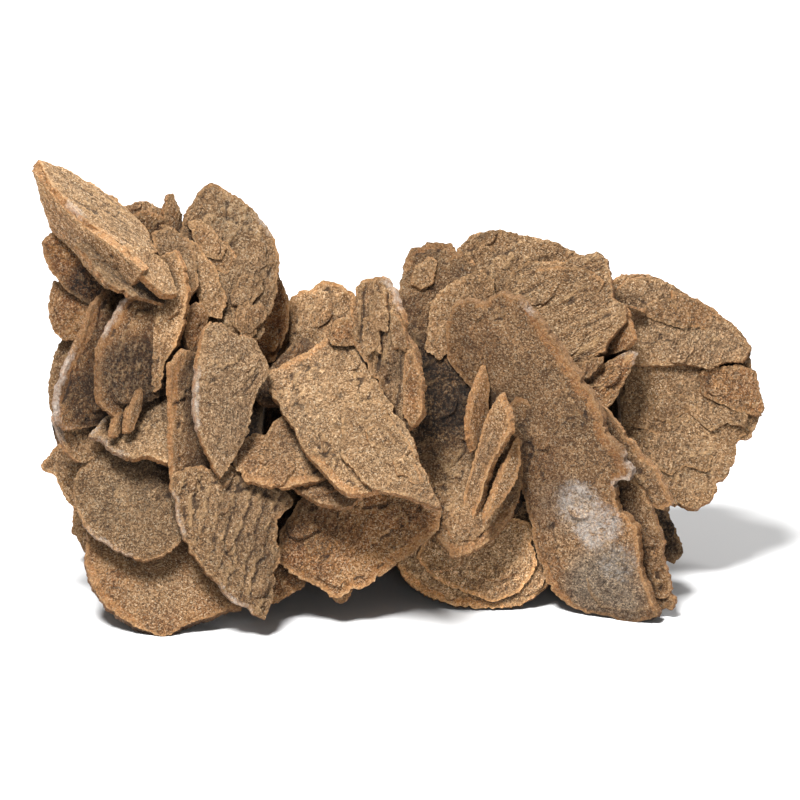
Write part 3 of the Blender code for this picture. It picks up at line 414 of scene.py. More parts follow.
# How a crystal is worked, in millimetres unless it says otherwise
PLAIN_HABIT = {
    "swell": 0.2,  # height of the broad swells
    "lumps": 0.04,  # height of the lumps
    "grit": 0.03,  # height of the finest relief
    "ledges": 2,  # number of growth ledges near the rim
    "step": 0.34,  # height of one ledge
    "flakes": 0.8,  # broken flakes per square centimetre
    "flake_size": 7.0,
    "flake_lift": 0.6,  # how far the free edge of a flake stands out
    "flake_edge": (0.6, -1.0),  # the side of the free edge, across and up the face plane
    "ribs": 0.04,  # height of lengthwise ribs
    "rib_run": (0.3, 1.0),  # the way the ribs run, across and up the face plane
    "pits": 0.02,  # tens of pits per square centimetre
    "cracks": 0.25,  # depth of the cracks
    "chips": 0.34,  # how far the rim is chipped in and out
    "lobes": 0.12,  # how far the rounded lobes of the rim stand out
    "worn": 0.07,  # how far the outline's corners are worn off, as a share of its sides
    "scales": 0.42,  # height of the free edges of overlapping scales
    "scale_run": 5.0,  # distance between those edges, counted across them
    "scaly": 0.45,  # share of the face that is scaly
    "spacing": 0.42,  # between the points of a worked face
    "edge": 0.88,  # share of the front half's thickness that is left at the rim
    "rim": 0.85,  # share of amber on the rim
    "tone": 0.0,  # lighter or darker, -1 to 1; on some crystals partly painted light and shade
    "warmth": 0.0,  # greyer or more orange, -1 to 1
}

SMOOTH = {
    "grit": 0.03, "lumps": 0.06, "ledges": 0, "cracks": 0, "flakes": 0, "scales": 0.12, "chips": 0.15,
    "lobes": 0.1, "worn": 0.22}
CORE_HABIT = {
    "flakes": 0.8, "flake_size": 8, "chips": 0.55, "lobes": 0.1, "worn": 0.05, "scales": 0.6,
    "ledges": 3, "edge": 0.4, "spacing": 0.7}
THIN_HABIT = {"worn": 0.03, "chips": 0.5, "spacing": 0.34, "scales": 0.2, "flakes": 0, "cracks": 0}
LUMP = {"flakes": 0, "spacing": 1.2}  # the thick hearts, which hardly show
SHARP_FIN = {**SMOOTH, "worn": 0.03, "rim": 1}
SHELF_FIN = {**SMOOTH, "worn": 0.02, "tone": -0.15, "rim": 1}
BUD = {"flakes": 3, "chips": 0.7, "lobes": 0.7, "warmth": 0.4, "rim": 1}
CROWN_LAYER = {"flakes": 1.2, "flake_edge": (1, -0.3), "chips": 0.6}
RIGHT_SLAB = {"scales": 0.25, "scale_run": 5, "scaly": 0.6, "flakes": 0.25, "flake_edge": (0.2, -1)}
# painted light: the right foot is made lighter than the lamps leave it
BRIGHT_FOOT = {"tone": 1, "warmth": -0.5, "rim": 1, "scales": 0.2}
DARK_SHEET = {"warmth": 0.5, "chips": 0.5}
SHELF = {"ledges": 3, "tone": 0.1, "chips": 0.55}

HABITS = {
    **{heart: LUMP for heart in (
        "left_core", "valley_core", "middle_core", "right_core", "right_tip_core")},
    "foot_disc": {
        "flakes": 0, "warmth": 0.5, "worn": 0.18, "chips": 0.2, "scales": 0, "ledges": 1, "swell": 0.12,
        "rim": 1},
    "foot_upper_disc": {
        "tone": -0.35, "flakes": 0, "worn": 0.18, "chips": 0.3, "scales": 0, "ledges": 4, "step": 0.22,
        "rim": 1},
    "shelf_fin_left": SHELF_FIN,
    "shelf_fin_right": SHELF_FIN,
    "shaded_fin": {"tone": -0.25, "warmth": 0.5, "rim": 1, "flakes": 0.3, "scales": 0.2},
    "white_edged_fin": {"tone": -0.2, "warmth": 0.7, "rim": 1, "flakes": 0.3, "scales": 0.2},
    "deep_fin": {"warmth": 0.4, "tone": -0.1},
    "left_valley": {"tone": 0.35, "warmth": -0.3, "flakes": 0.3},
    "left_back_upper": {"tone": -0.3, "warmth": 0.8, "rim": 1, "flakes": 0, "scales": 0.25},
    "left_back_middle": {"tone": -0.1, "warmth": 0.6, "flakes": 0, "scales": 0.25},
    "left_back_lower": {"tone": -0.1, "warmth": 0.3},
    "spire_upper": {
        "ribs": 0.25, "rib_run": (1, -0.62), "ledges": 0, "tone": 0.45, "warmth": -0.3, "flakes": 0,
        "scales": 0.25, "flake_edge": (0.6, 1), "scale_run": 2.6, "scaly": 0.8, "chips": 0.25,
        "lobes": 0.05, "worn": 0.03},
    "spire_lower": {
        "ribs": 0.2, "rib_run": (1, -0.8), "ledges": 0, "tone": 0.5, "flakes": 0, "scales": 0.15,
        "chips": 0.2, "lobes": 0.05, "worn": 0.03},
    "spire_splinter": {"ribs": 0.3, "rib_run": (1, -0.6), "tone": -0.2, "chips": 0.8, "worn": 0.03},
    "spire_bud": {**SMOOTH, "worn": 0.03, "tone": 0.45, "warmth": -0.2, "rim": 0.6},
    "valley_splinter": {"warmth": 0.4, "worn": 0.03},
    "crown_bud_back": {**BUD, "flake_size": 2.6},
    "crown_bud_front": {**BUD, "flake_size": 2.4},
    "crown_thorn": {**SMOOTH, "worn": 0.03, "chips": 0.1, "lobes": 0.05, "tone": 0.2},
    "crown_disc": {
        "tone": -0.35, "scales": 0.4, "scale_run": 6, "scaly": 0.6, "step": 0.3, "flake_size": 6,
        "flake_edge": (1, -0.35)},
    "crown_layer_middle": {**CROWN_LAYER, "flake_size": 4.5},
    "crown_layer_outer": {**CROWN_LAYER, "flake_size": 4},
    "crown_layer_upper": {**CROWN_LAYER, "flakes": 1, "flake_size": 4},
    "amber_backing": {"warmth": 1, "rim": 1},
    "standing_blade": {
        "ribs": 0.1, "rib_run": (0.1, 1), "ledges": 1, "flakes": 0.3, "tone": 0.05, "warmth": -0.4},
    "flaky_blade": {
        "tone": -0.1, "warmth": -0.2, "scales": 0.7, "scale_run": 2.6, "scaly": 0.9, "flakes": 1.6,
        "flake_size": 4.2, "flake_edge": (1, -0.25), "flake_lift": 0.7, "pits": 0.05, "chips": 0.6},
    "back_disc_middle": {"tone": 0.3, "flakes": 0.3, "rim": 1},
    "ribbed_blade": {
        "scales": 0.7, "scale_run": 2.5, "scaly": 0.9, "flakes": 1.2, "flake_size": 3.4,
        "flake_edge": (1, -0.15), "flake_lift": 0.5, "chips": 0.6},
    "ribbed_layer": {**SMOOTH, "warmth": 0.3, "tone": 0.2, "worn": 0.14},
    "ribbed_bud": {**SMOOTH, "warmth": 0.3, "tone": 0.2, "worn": 0.16},
    "table_blade": {
        "scales": 0.5, "scale_run": 4, "scaly": 0.4, "swell": 0.35, "grit": 0.1, "flakes": 0.9,
        "flake_size": 4.6, "flake_edge": (0.8, -1), "flake_lift": 0.35, "tone": 0.08},
    # painted shade: the sheets behind the table's top edge are made darker, as in shade
    "table_under_layer": {**DARK_SHEET, "tone": -0.55},
    "table_root": {**DARK_SHEET, "tone": -0.75},
    "low_shelf": {**SHELF, "step": 0.25, "warmth": 0.4},
    "low_shelf_under": {**SHELF, "step": 0.22, "warmth": 0.6},
    "hanging_blade": {"tone": 0.15, "warmth": 0.6, "rim": 1},
    "amber_tail": {"warmth": 0.6, "rim": 1},
    "tall_face": {"tone": -0.55, "warmth": 0.3},
    "notch_fin_left": {**SHARP_FIN, "tone": 0.15, "warmth": 0.4},
    "notch_fin_middle": {
        **SHARP_FIN, "ribs": 0.3, "rib_run": (0.45, 1), "tone": 0.35, "warmth": -0.2},
    "notch_fin_right": {**SHARP_FIN, "tone": 0.15, "warmth": 0.3},
    "lower_lobe": {"rim": 1, "warmth": 0.1},
    "great_blade": {
        "scales": 0.3, "scaly": 0.3, "swell": 0.3, "grit": 0.04, "step": 0.3, "chips": 0.32,
        "flakes": 0.3, "flake_size": 5, "tone": -0.24, "warmth": -0.15, "rim": 1},
    "second_great_blade": {"rim": 1},
    "lower_right_layer": {"flakes": 2, "flake_size": 3.8, "flake_edge": (0.2, -1), "chips": 0.7},
    "right_foot": BRIGHT_FOOT,
    "right_foot_layer": BRIGHT_FOOT,
    "tucked_disc": {"tone": -0.4, "warmth": -0.5},
    "high_back_disc": {"warmth": 0.3, "flakes": 1, "flake_size": 5},
    "slanted_slab": {"ribs": 0.24, "rib_run": (1, 0.5), "ledges": 1, "tone": 0.15},
    "slab_end": {"tone": 0.3, "warmth": 0.4, "chips": 0.2, "worn": 0.03},
    "wedge_block": {
        "ribs": 0.22, "rib_run": (1, 0.8), "ledges": 1, "tone": 0.3, "warmth": 0.4, "chips": 0.12,
        "lobes": 0, "worn": 0.02},
    "right_disc": {**RIGHT_SLAB, "flake_size": 9, "flake_lift": 0.55, "chips": 0.4},
    "right_upper_slab": {
        **RIGHT_SLAB, "scale_run": 6, "scaly": 0.5, "flake_size": 8, "flake_edge": (0.3, -1),
        "flake_lift": 0.5, "tone": 0.08, "warmth": -0.3},
    "right_middle_slab": {**RIGHT_SLAB, "flake_lift": 0.5},
    "right_dome": {**SMOOTH, "swell": 0.5, "tone": 0.1, "grit": 0.06},
    "right_edge_lobe": {"warmth": 0.3},
}

# Finishes, painted light and painted shade on part of a crystal, by kind: crystal, middle (x, v), radius,
# strength
PATCHES = {
    "frost": [  # white on the rim
        ("white_edged_fin", (-67.5, 50), 12, 0.7), ("shaded_fin", (-57, 64), 8, 0.6),
        ("standing_blade", (-41, 47), 10, 0.6), ("spire_upper", (-64, 84.5), 5, 0.6),
        ("spire_upper", (-57, 79), 4, 0.4), ("crown_disc", (-28, 81), 4, 0.6),
        ("great_blade", (24.5, 64), 4, 0.6), ("great_blade", (45, 33), 6, 0.6),
        ("flaky_blade", (-44, 24), 7, 0.55), ("flaky_blade", (-34, 7), 7, 0.5),
        ("shelf_blade", (-58, 39), 8, 0.5), ("left_lower_fin", (-68, 42), 6, 0.6),
        ("right_disc", (56, 47), 7, 0.4), ("ribbed_blade", (-0.5, 68), 6, 0.6),
        ("wedge_block", (46, 56), 4, 0.6), ("foot_upper_disc", (-58, 18), 9, 0.5),
    ],
    "bloom": [  # white on the face
        ("great_blade", (36, 27), 7, 0.6), ("great_blade", (40, 22), 7, 0.7),
        ("great_blade", (44, 15), 6, 0.45),
    ],
    "grey": [  # grey sand
        ("great_blade", (42, 10), 12, 1.0), ("great_flake_low", (42, 10), 12, 1.0),
        ("great_blade", (34, 26), 9, 0.5), ("table_blade", (0, 36), 9, 0.5),
    ],
    "crumbs": [  # stuck grains
        ("crown_disc", (-34, 83), 6, 1.0), ("table_blade", (-18, 46), 9, 0.4),
        ("foot_disc", (-48, 8), 8, 0.3), ("shaded_fin", (-53, 52), 9, 0.7),
        ("foot_upper_disc", (-56, 27), 8, 0.4), ("right_disc", (58, 34), 8, 0.4),
    ],
    "dark": [  # painted shade, darker where shade falls on the cluster
        ("shaded_fin", (-52, 52), 12, 0.6), ("white_edged_fin", (-62, 47), 8, 0.5),
        ("left_back_upper", (-61, 70), 7, 0.7), ("left_fin_outer", (-61, 74), 9, 0.5),
        ("tall_face", (6, 48), 14, 0.5), ("hanging_blade", (-18, 23), 9, 0.5),
        ("great_blade", (20, 42), 9, 0.4), ("low_shelf", (-24, 37), 5, 0.5),
        ("ribbed_blade", (1, 54), 5, 0.5), ("tucked_disc", (50, 22), 8, 0.5),
        ("lower_right_layer", (49, 22), 8, 0.4), ("back_disc_middle", (-22, 55), 8, 0.6),
    ],
    "light": [  # painted light, lighter than the lamps leave these parts
        ("great_blade", (40, 16), 18, 0.5), ("right_foot", (12, 12), 34, 0.7),
        ("right_foot_layer", (12, 12), 34, 0.7), ("table_blade", (-20, 53), 10, 0.3),
        ("hanging_blade", (-4, 20), 14, 0.3), ("flaky_blade", (-38, 24), 14, 0.2),
        ("lower_lobe", (14, 24), 14, 0.2), ("right_disc", (56, 40), 24, 0.2),
        ("right_upper_slab", (60, 60), 20, 0.3), ("slanted_slab", (34, 66), 16, 0.25),
        ("left_valley", (-44, 60), 16, 0.2), ("right_edge_lobe", (68, 49), 9, 0.5),
    ],
    "amber": [  # a broad amber rim
        ("table_blade", (-19, 56), 9, 0.4), ("great_blade", (35, 54), 16, 0.85),
        ("great_blade", (44, 40), 9, 0.8), ("great_blade", (30, 9), 7, 0.3),
        ("table_blade", (-14, 30), 8, 0.5), ("hanging_blade", (2, 15), 10, 0.6),
        ("lower_lobe", (17, 19), 9, 0.7), ("foot_disc", (-58, 7), 10, 0.4),
        ("right_foot", (10, 8), 12, 0.4), ("tall_face", (6, 77), 8, 0.4),
        ("low_shelf", (-24, 30), 9, 0.4), ("white_edged_fin", (-66, 56), 14, 0.7),
        ("shaded_fin", (-56, 64), 10, 0.6), ("deep_fin", (-44, 52), 10, 0.6),
    ],
}

# Distances in the relief of a face, mm
SWELL_SIZE = 11  # between broad swells
LUMP_SIZE = 3.8
GRIT_SIZE = 1.3
LEDGE_FACET = 1.9  # straight stretches of a ledge
SCALE_FACET = 1.3  # straight stretches of a scale's edge
RIB_WIDTH = 1.1
RIB_LENGTH = 13
POINT_GAP = 0.45  # between the points of a rim
RIM_REACH = 5.0  # how far in from the rim the amber can reach

RIM_LAYERS = (-0.55, -0.33, -0.12, 0.1, 0.3, 0.52)  # where the rim's thin layers end, as shares of half
WALL_RIM = 0.92  # share of amber on the wall of a rim
MARGIN = 1.2  # how far a crystal's slab reaches past its outline, mm
GROWTH_UNIT = 100  # millimetres in one unit of the growth layer
CLEARANCE = 1.5  # how far the wall that cuts the rim stands past both faces, mm
CRUMB = 1e-9  # volume of the largest crumb that is dropped, cubic metres
SHARP_ANGLE = math.radians(44.0)  # edges bent by more than this are drawn sharp


class Fields:
    """Values over a surface, by name."""


def face_point(x, near, v):
    """A point of the face plane's frame: right, away from the viewer, up the plane."""
    return Vector((x, -near, v))


def turn_of(yaw, pitch):
    """The rotation that turns a crystal lying in the face plane to its own slant."""
    return Matrix.Rotation(math.radians(yaw), 3, "Z") @ Matrix.Rotation(-math.radians(pitch), 3, "X")


def dropped_outline(corners, anchor, turn):
    """The corners moved straight back onto the plane through the anchor, in the crystal's own a and b."""
    normal = turn @ Vector((0, -1, 0))
    dropped = []
    for x, v in corners:
        p = face_point(x, 0, v)
        p.y += normal.dot(anchor - p) / normal.y
        own = turn.transposed() @ (p - anchor)
        dropped.append((own.x, own.z))
    return dropped


def rosette_outline(centre_x, half_sizes):
    """A rounded, uneven outline with a slight three-fold wave, in the crystal's own a and b."""
    corners = []
    rng = np.random.default_rng([SEED, int(1000 + 10 * centre_x + 7 * half_sizes[0])])
    for i in range(ROSETTE_SIDES):
        angle = 2 * math.pi * (i + rng.uniform(-0.35, 0.35)) / ROSETTE_SIDES
        reach = 1 + ROSETTE_WAVE * math.sin(3 * angle + centre_x) + rng.uniform(-0.07, 0.05)
        corners.append((half_sizes[0] * reach * math.cos(angle), half_sizes[1] * reach * math.sin(angle)))
    return corners


def crystal_plans():
    """Every crystal by name: anchor and turn in the face frame, thickness and corners in its own plane."""
    plans = {}
    for name, yaw, pitch, near, thickness, corners in FACE_CRYSTALS:
        turn = turn_of(yaw, pitch)
        x, v = sum((Vector(c) for c in corners[1:]), Vector(corners[0])) / len(corners)
        anchor = face_point(x, near, v)
        plans[name] = (anchor, turn, thickness, dropped_outline(corners, anchor, turn))
    for name, host, lift, thickness, corners in GROWTH_LAYERS:
        base, turn = plans[host][:2]
        anchor = base + turn @ Vector((0, -lift, 0))
        plans[name] = (anchor, turn, thickness, dropped_outline(corners, anchor, turn))
    for name, host, lift, lean, thickness, corners in FINE_LAYERS:
        base, turn = plans[host][:2]
        normal = turn @ Vector((0, -1, 0))
        x, v = sum((Vector(c) for c in corners[1:]), Vector(corners[0])) / len(corners)
        anchor = face_point(x, 0, v)
        anchor.y = (normal.dot(base - anchor) + lift) / normal.y
        turn = turn @ turn_of(*lean)
        plans[name] = (anchor, turn, thickness, dropped_outline(corners, anchor, turn))
    for name, yaw, pitch, centre, half_sizes, thickness in CORE_CRYSTALS:
        corners = rosette_outline(centre[0], half_sizes)
        plans[name] = (face_point(*centre), turn_of(yaw, pitch), thickness, corners)
    return plans


def smooth(value, low, high):
    """0 below low, 1 above high, and a soft change between them."""
    share = np.clip((value - low) / (high - low), 0, 1)
    return share * share * (3 - 2 * share)


def mottle(rng, a, b, size, turned=True):
    """Hills and hollows between -1 and 1, about size apart, at the points a, b."""
    turn = rng.uniform(0, math.pi) if turned else 0
    along = (a * math.cos(turn) + b * math.sin(turn)) / size
    across = (b * math.cos(turn) - a * math.sin(turn)) / size
    along, across = along - along.min(), across - across.min()
    i, j = along.astype(int), across.astype(int)
    fi, fj = along - i, across - j
    angle = rng.uniform(0, 2 * math.pi, (i.max() + 2, j.max() + 2))
    pull_i, pull_j = np.cos(angle), np.sin(angle)
    ease_i = fi**3 * (fi * (fi * 6 - 15) + 10)
    ease_j = fj**3 * (fj * (fj * 6 - 15) + 10)
    total = 0
    for di in (0, 1):
        for dj in (0, 1):
            slope = pull_i[i + di, j + dj] * (fi - di) + pull_j[i + di, j + dj] * (fj - dj)
            total = total + slope * (ease_i if di else 1 - ease_i) * (ease_j if dj else 1 - ease_j)
    return total * 1.6


def stretches(rng, place, length, size):
    """Cuts a closed line into uneven stretches: which one each place is in, how far along, and how many."""
    knots = rng.uniform(0.4, 1.7, max(3, int(length / size))).cumsum()
    knots = np.concatenate(([0], knots)) * length / knots[-1]
    which = np.searchsorted(knots, place, side="right") - 1
    return which, (place - knots[which]) / (knots[which + 1] - knots[which]), len(knots) - 1


def ragged_outline(rng, corners, habit):
    """The outline with its corners worn and its rim chipped and lobed, as closely spaced points."""
    ring = np.array(corners, dtype=float)
    following = np.roll(ring, -1, 0)
    if (ring[:, 0] * following[:, 1] - ring[:, 1] * following[:, 0]).sum() < 0:
        ring = ring[::-1]
    for share in (habit["worn"], 0.16):
        following = np.roll(ring, -1, 0)
        cut = (ring * (1 - share) + following * share, ring * share + following * (1 - share))
        ring = np.stack(cut, 1).reshape(-1, 2)
    closed = np.vstack((ring, ring[:1]))
    run = np.concatenate(([0], np.hypot(*np.diff(closed, axis=0).T).cumsum()))
    place = np.linspace(0, run[-1], max(24, int(run[-1] / POINT_GAP)), endpoint=False)
    points = np.stack([np.interp(place, run, closed[:, k]) for k in (0, 1)], 1)
    along = np.roll(points, -1, 0) - np.roll(points, 1, 0)
    along /= np.hypot(*along.T)[:, None]
    push = rng.uniform(-0.14, 0.14, len(place))
    chips = habit["chips"] * min(1, run[-1] / 110)
    for size, height in ((0.9, 0.5 * chips), (2.2, 0.8 * chips), (7, chips)):
        which, way, count = stretches(rng, place, run[-1], size)
        level = rng.uniform(-1, 1, count)
        push += height * (level[which] * (1 - way) + level[(which + 1) % count] * way)
    for size, height in ((3.6, habit["lobes"]), (1.5, 0.4 * habit["lobes"])):
        which, way, count = stretches(rng, place, run[-1], size)
        crown = np.sqrt(np.clip(1 - (2 * way - 1) ** 2, 0, 1))
        push += crown * rng.uniform(0.2, 1, count)[which] * height
    which, way, count = stretches(rng, place, run[-1], 2.4)
    notch = (rng.uniform(0, 1, count) < 0.14) * rng.uniform(0.5, 1.3, count)
    push -= 2 * chips * notch[which] * np.clip(1 - np.abs(2 * way - 1) * 1.1, 0, 1)
    push = np.clip(push - push.mean(), -0.9, 0.8)
    return points + push[:, None] * np.stack((along[:, 1], -along[:, 0]), 1)


def depth_inside(a, b, ring):
    """Distance of every point from the outline, positive inside."""
    nearest = np.full(a.shape, 1e9)
    inside = np.zeros(a.shape, dtype=bool)
    for (pa, pb), (qa, qb) in zip(ring, np.roll(ring, -1, 0)):
        da, db = qa - pa, qb - pb
        share = np.clip(((a - pa) * da + (b - pb) * db) / (da * da + db * db + 1e-12), 0, 1)
        nearest = np.minimum(nearest, (a - pa - share * da) ** 2 + (b - pb - share * db) ** 2)
        if pb != qb:
            inside ^= ((pb > b) != (qb > b)) & (a < da * (b - pb) / db + pa)
    return np.where(inside, 1, -1) * np.sqrt(nearest)


def blurred(height, reach):
    """The grid averaged over a square that reaches so many points each way."""
    for axis in (0, 1):
        height = sum(np.roll(height, k, axis) for k in range(-reach, reach + 1)) / (2 * reach + 1)
    return height


def own_way(turn, run):
    """A direction of the face plane as it lies in the crystal's own plane."""
    own = turn.transposed() @ Vector((run[0], 0, run[1]))
    length = math.hypot(own.x, own.z) or 1
    return own.x / length, own.z / length


def faceted(rng, values, size):
    """The grid's values, each taken from the middle of an uneven cell that is about size points across."""
    rows, columns = values.shape
    row, column = np.indices(values.shape)
    cell_r, cell_c = row // size, column // size
    shift_r = rng.uniform(0, size, (rows // size + 3, columns // size + 3))
    shift_c = rng.uniform(0, size, shift_r.shape)
    nearest = np.full(values.shape, 1e9)
    chosen = values
    for dr in (-1, 0, 1):
        for dc in (-1, 0, 1):
            r = (cell_r + dr) * size + shift_r[cell_r + dr + 1, cell_c + dc + 1]
            c = (cell_c + dc) * size + shift_c[cell_r + dr + 1, cell_c + dc + 1]
            far = (r - row) ** 2 + (c - column) ** 2
            taken = values[
                np.clip(r, 0, rows - 1).astype(int), np.clip(c, 0, columns - 1).astype(int)]
            chosen = np.where(far < nearest, taken, chosen)
            nearest = np.minimum(far, nearest)
    return chosen


def cut_ledges(rng, relief, a, b, depth, habit, spacing):
    """Cuts growth ledges in a relief: steps down to the rim, along broken lines that wander round it."""
    wander = depth + 1.8 * mottle(rng, a, b, 7) + 0.5 * mottle(rng, a, b, 2.2)
    wander = 0.25 * wander + 0.75 * faceted(rng, wander, max(2, int(LEDGE_FACET / spacing)))
    start = rng.uniform(0.9, 2.0)
    for _ in range(habit["ledges"]):
        here = np.clip(0.7 + 1.2 * mottle(rng, a, b, 12), 0, 1.2)
        relief -= habit["step"] * here * (1 - smooth(wander, start - 0.15, start + 0.15))
        start += rng.uniform(1.8, 4.5)


def ribs_on(rng, a, b, habit, turn):
    """Fine lengthwise ribs."""
    way = own_way(turn, habit["rib_run"])
    across, along = b * way[0] - a * way[1], a * way[0] + b * way[1]
    return habit["ribs"] * mottle(rng, across / RIB_WIDTH, along / RIB_LENGTH, 1, turned=False)


def scales_on(rng, a, b, habit, turn, spacing):
    """Overlapping scales: long slopes that each end in a ragged free edge."""
    way = own_way(turn, habit["flake_edge"])
    run = habit["scale_run"]
    count = (a * way[0] + b * way[1]) / run + 0.4 * mottle(rng, a, b, 1.6 * run)
    ragged = 0.2 * mottle(rng, a, b, 0.5 * run) + 0.06 * mottle(rng, a, b, 1.1)
    count += 0.5 * ragged + 0.5 * faceted(rng, ragged, max(2, int(SCALE_FACET / spacing)))
    count -= np.floor(count.min())
    tread = np.floor(count).astype(int)
    strength = rng.uniform(0.3, 1.3, tread.max() + 1)[tread]
    where = smooth(mottle(rng, a, b, 9) + 0.3 * mottle(rng, a, b, 3) + 2 * habit["scaly"] - 1, -0.1, 0.1)
    return habit["scales"] * strength * where * (count - tread - 0.5)


def cracks_on(rng, a, b, habit):
    """Thin cracks that come and go along the lines where a slow noise is zero."""
    line = np.abs(mottle(rng, a, b, 9) + 0.15 * mottle(rng, a, b, 2))
    broken = smooth(mottle(rng, a, b, 12), 0.25, 0.5)
    return -habit["cracks"] * broken * (1 - smooth(line, 0.0, 0.06))


def worked_face(rng, a, b, depth, half, habit, turn, spacing, side):
    """Height of one face above the crystal's middle plane. The back face slopes up to a thin rim."""
    relief = habit["swell"] * mottle(rng, a, b, SWELL_SIZE)
    relief += habit["lumps"] * mottle(rng, a, b, LUMP_SIZE)
    relief += habit["grit"] * mottle(rng, a, b, GRIT_SIZE)
    cut_ledges(rng, relief, a, b, depth, habit, spacing)
    relief += ribs_on(rng, a, b, habit, turn)
    relief += scales_on(rng, a, b, habit, turn, spacing)
    if habit["cracks"]:
        relief += cracks_on(rng, a, b, habit)
    for _ in range(int(habit["pits"] * np.ptp(a) * np.ptp(b) / 10)):
        pit = np.hypot(a - rng.uniform(a.min(), a.max()), b - rng.uniform(b.min(), b.max()))
        relief -= rng.uniform(0.12, 0.4) * (1 - smooth(pit, 0.2, rng.uniform(0.7, 1.6)))
    edge = habit["edge"] if side > 0 else np.clip(0.1 + 0.25 * mottle(rng, a, b, 6), -0.1, 0.5)
    edge = np.maximum(edge, 0.5 / half)
    share = np.clip(depth / np.clip(1.4 * half, 1.0, 3.0), 0, 1)
    height = half * (edge + (1 - edge) * (1 - (1 - share) ** 1.6))
    height += relief * min(1, half / 1.5) * (0.5 + 0.5 * share)
    return np.maximum(height, 0.1 * half)


def raised_cap(bm, cap, rise, widen, first=False, around=Matrix()):
    """Extrudes a cap upwards and widens it: the new cap and its vertices. The first cap stays as the foot."""
    grown = bmesh.ops.extrude_face_region(bm, geom=[cap])["geom"]
    if not first:
        bmesh.ops.delete(bm, geom=[cap], context="FACES_ONLY")
    raised = [g for g in grown if isinstance(g, bmesh.types.BMVert)]
    bmesh.ops.translate(bm, vec=(0, 0, rise), verts=raised)
    bmesh.ops.scale(bm, vec=(widen, widen, 1), space=around, verts=raised)
    return next(g for g in grown if isinstance(g, bmesh.types.BMFace)), raised


def flat_flake(rng, bm, reach):
    """A thin flake with a broken outline, lying flat at the origin: its vertices and its thickness."""
    points = int(np.clip(reach * 7, 14, 40))
    foot = bmesh.ops.create_circle(bm, segments=points, radius=1, cap_ends=True)["verts"]
    angle = np.arange(points) * 2 * math.pi / points
    which, along, count = stretches(rng, angle, 2 * math.pi, 0.55)
    level = rng.uniform(0.72, 1.2, count)
    far = level[which] * (1 - along) + level[(which + 1) % count] * along
    far = reach * (far + rng.uniform(-0.04, 0.04, points))
    for vert, angle_here, far_here in zip(foot, angle, far):
        vert.co = (0.85 * far_here * math.cos(angle_here), 1.2 * far_here * math.sin(angle_here), 0)
    thick = rng.uniform(0.8, 1.3)
    cap, middle = raised_cap(bm, foot[0].link_faces[0], 0.7 * thick, 1, first=True)
    top = raised_cap(bm, cap, 0.3 * thick, 1 - 0.2 / reach)[1]
    return [*foot, *middle, *top], thick


def flake_coat(rng, name, grid, depth, faces, habit, turn, spacing):
    """Thin broken flakes that lie slantwise in both faces, so that one edge stands free."""
    a, b = grid
    way = own_way(turn, habit["flake_edge"])
    bm = bmesh.new()
    wanted = int(habit["flakes"] * (depth > 0).sum() * spacing**2 / 100 + rng.uniform(0, 1))
    for side in (1, -1):
        taken = []
        for _ in range(6 * wanted):
            if len(taken) >= wanted:
                break
            reach = 0.5 * habit["flake_size"] * rng.uniform(0.55, 1.25)
            row, column = (rng.integers(n) for n in depth.shape)
            spot = np.array((a[row, column], b[row, column]))
            crowded = any(np.hypot(*(spot - other)) < reach + far for other, far in taken)
            if depth[row, column] < 0.75 * reach or crowded:
                continue
            taken.append((spot, reach))
            flake, thick = flat_flake(rng, bm, reach)
            slope = math.atan2(habit["flake_lift"] * rng.uniform(0.6, 1.3), reach)
            heading = math.atan2(way[1], way[0]) + rng.normal(0, 0.5)
            base = faces[side][row, column] + 0.12 - thick
            place = (
                Matrix.Translation((spot[0], spot[1], side * base))
                @ Matrix.Diagonal((1, 1, side, 1))
                @ Matrix.Rotation(heading, 4, "Z")
                @ Matrix.Rotation(-slope, 4, "Y"))
            bmesh.ops.transform(bm, matrix=place, verts=flake)
            face_outwards(bm, list({face for vert in flake for face in vert.link_faces}))
    return mesh_of(bm, name)


def crumbs_on(rng, a, b, patch):
    """Grains and lumps of sand stuck on a face, where the patch is strong."""
    lumps = np.clip(mottle(rng, a, b, 1.5) + 0.35 * mottle(rng, a, b, 0.9), 0, 1)
    return 0.55 * patch * lumps


def finish_layers(mesh, finish_and_shade, tint, growth):
    """Writes colours to the corners of a mesh from values at its vertices."""
    corner = np.empty(len(mesh.loops), dtype=np.int32)
    mesh.loops.foreach_get("vertex_index", corner)
    for title, values in (("finish_and_shade", finish_and_shade), ("tint", tint)):
        layer = mesh.attributes.new(title, "FLOAT_COLOR", "CORNER")
        layer.data.foreach_set("color", values[corner].astype(np.float32).ravel())
    layer = mesh.uv_layers.new(name="growth")
    layer.uv.foreach_set("vector", growth[corner].astype(np.float32).ravel())


def signed_volume(faces):
    """Volume inside closed faces, negative if they point inwards."""
    volume = 0
    for face in faces:
        corners = [v.co for v in face.verts]
        for i in range(1, len(corners) - 1):
            volume += corners[0].dot(corners[i].cross(corners[i + 1]))
    return volume / 6


def face_outwards(bm, faces):
    """Turns the faces of one closed surface outwards."""
    bmesh.ops.recalc_face_normals(bm, faces=faces)
    if signed_volume(faces) < 0:
        bmesh.ops.reverse_faces(bm, faces=faces)


def mesh_of(bm, name):
    mesh = bpy.data.meshes.new(name)
    bm.to_mesh(mesh)
    bm.free()
    return mesh


def vertex_places(mesh):
    places = np.empty(len(mesh.vertices) * 3, dtype=np.float32)
    mesh.vertices.foreach_get("co", places)
    return places.reshape(-1, 3).astype(float)


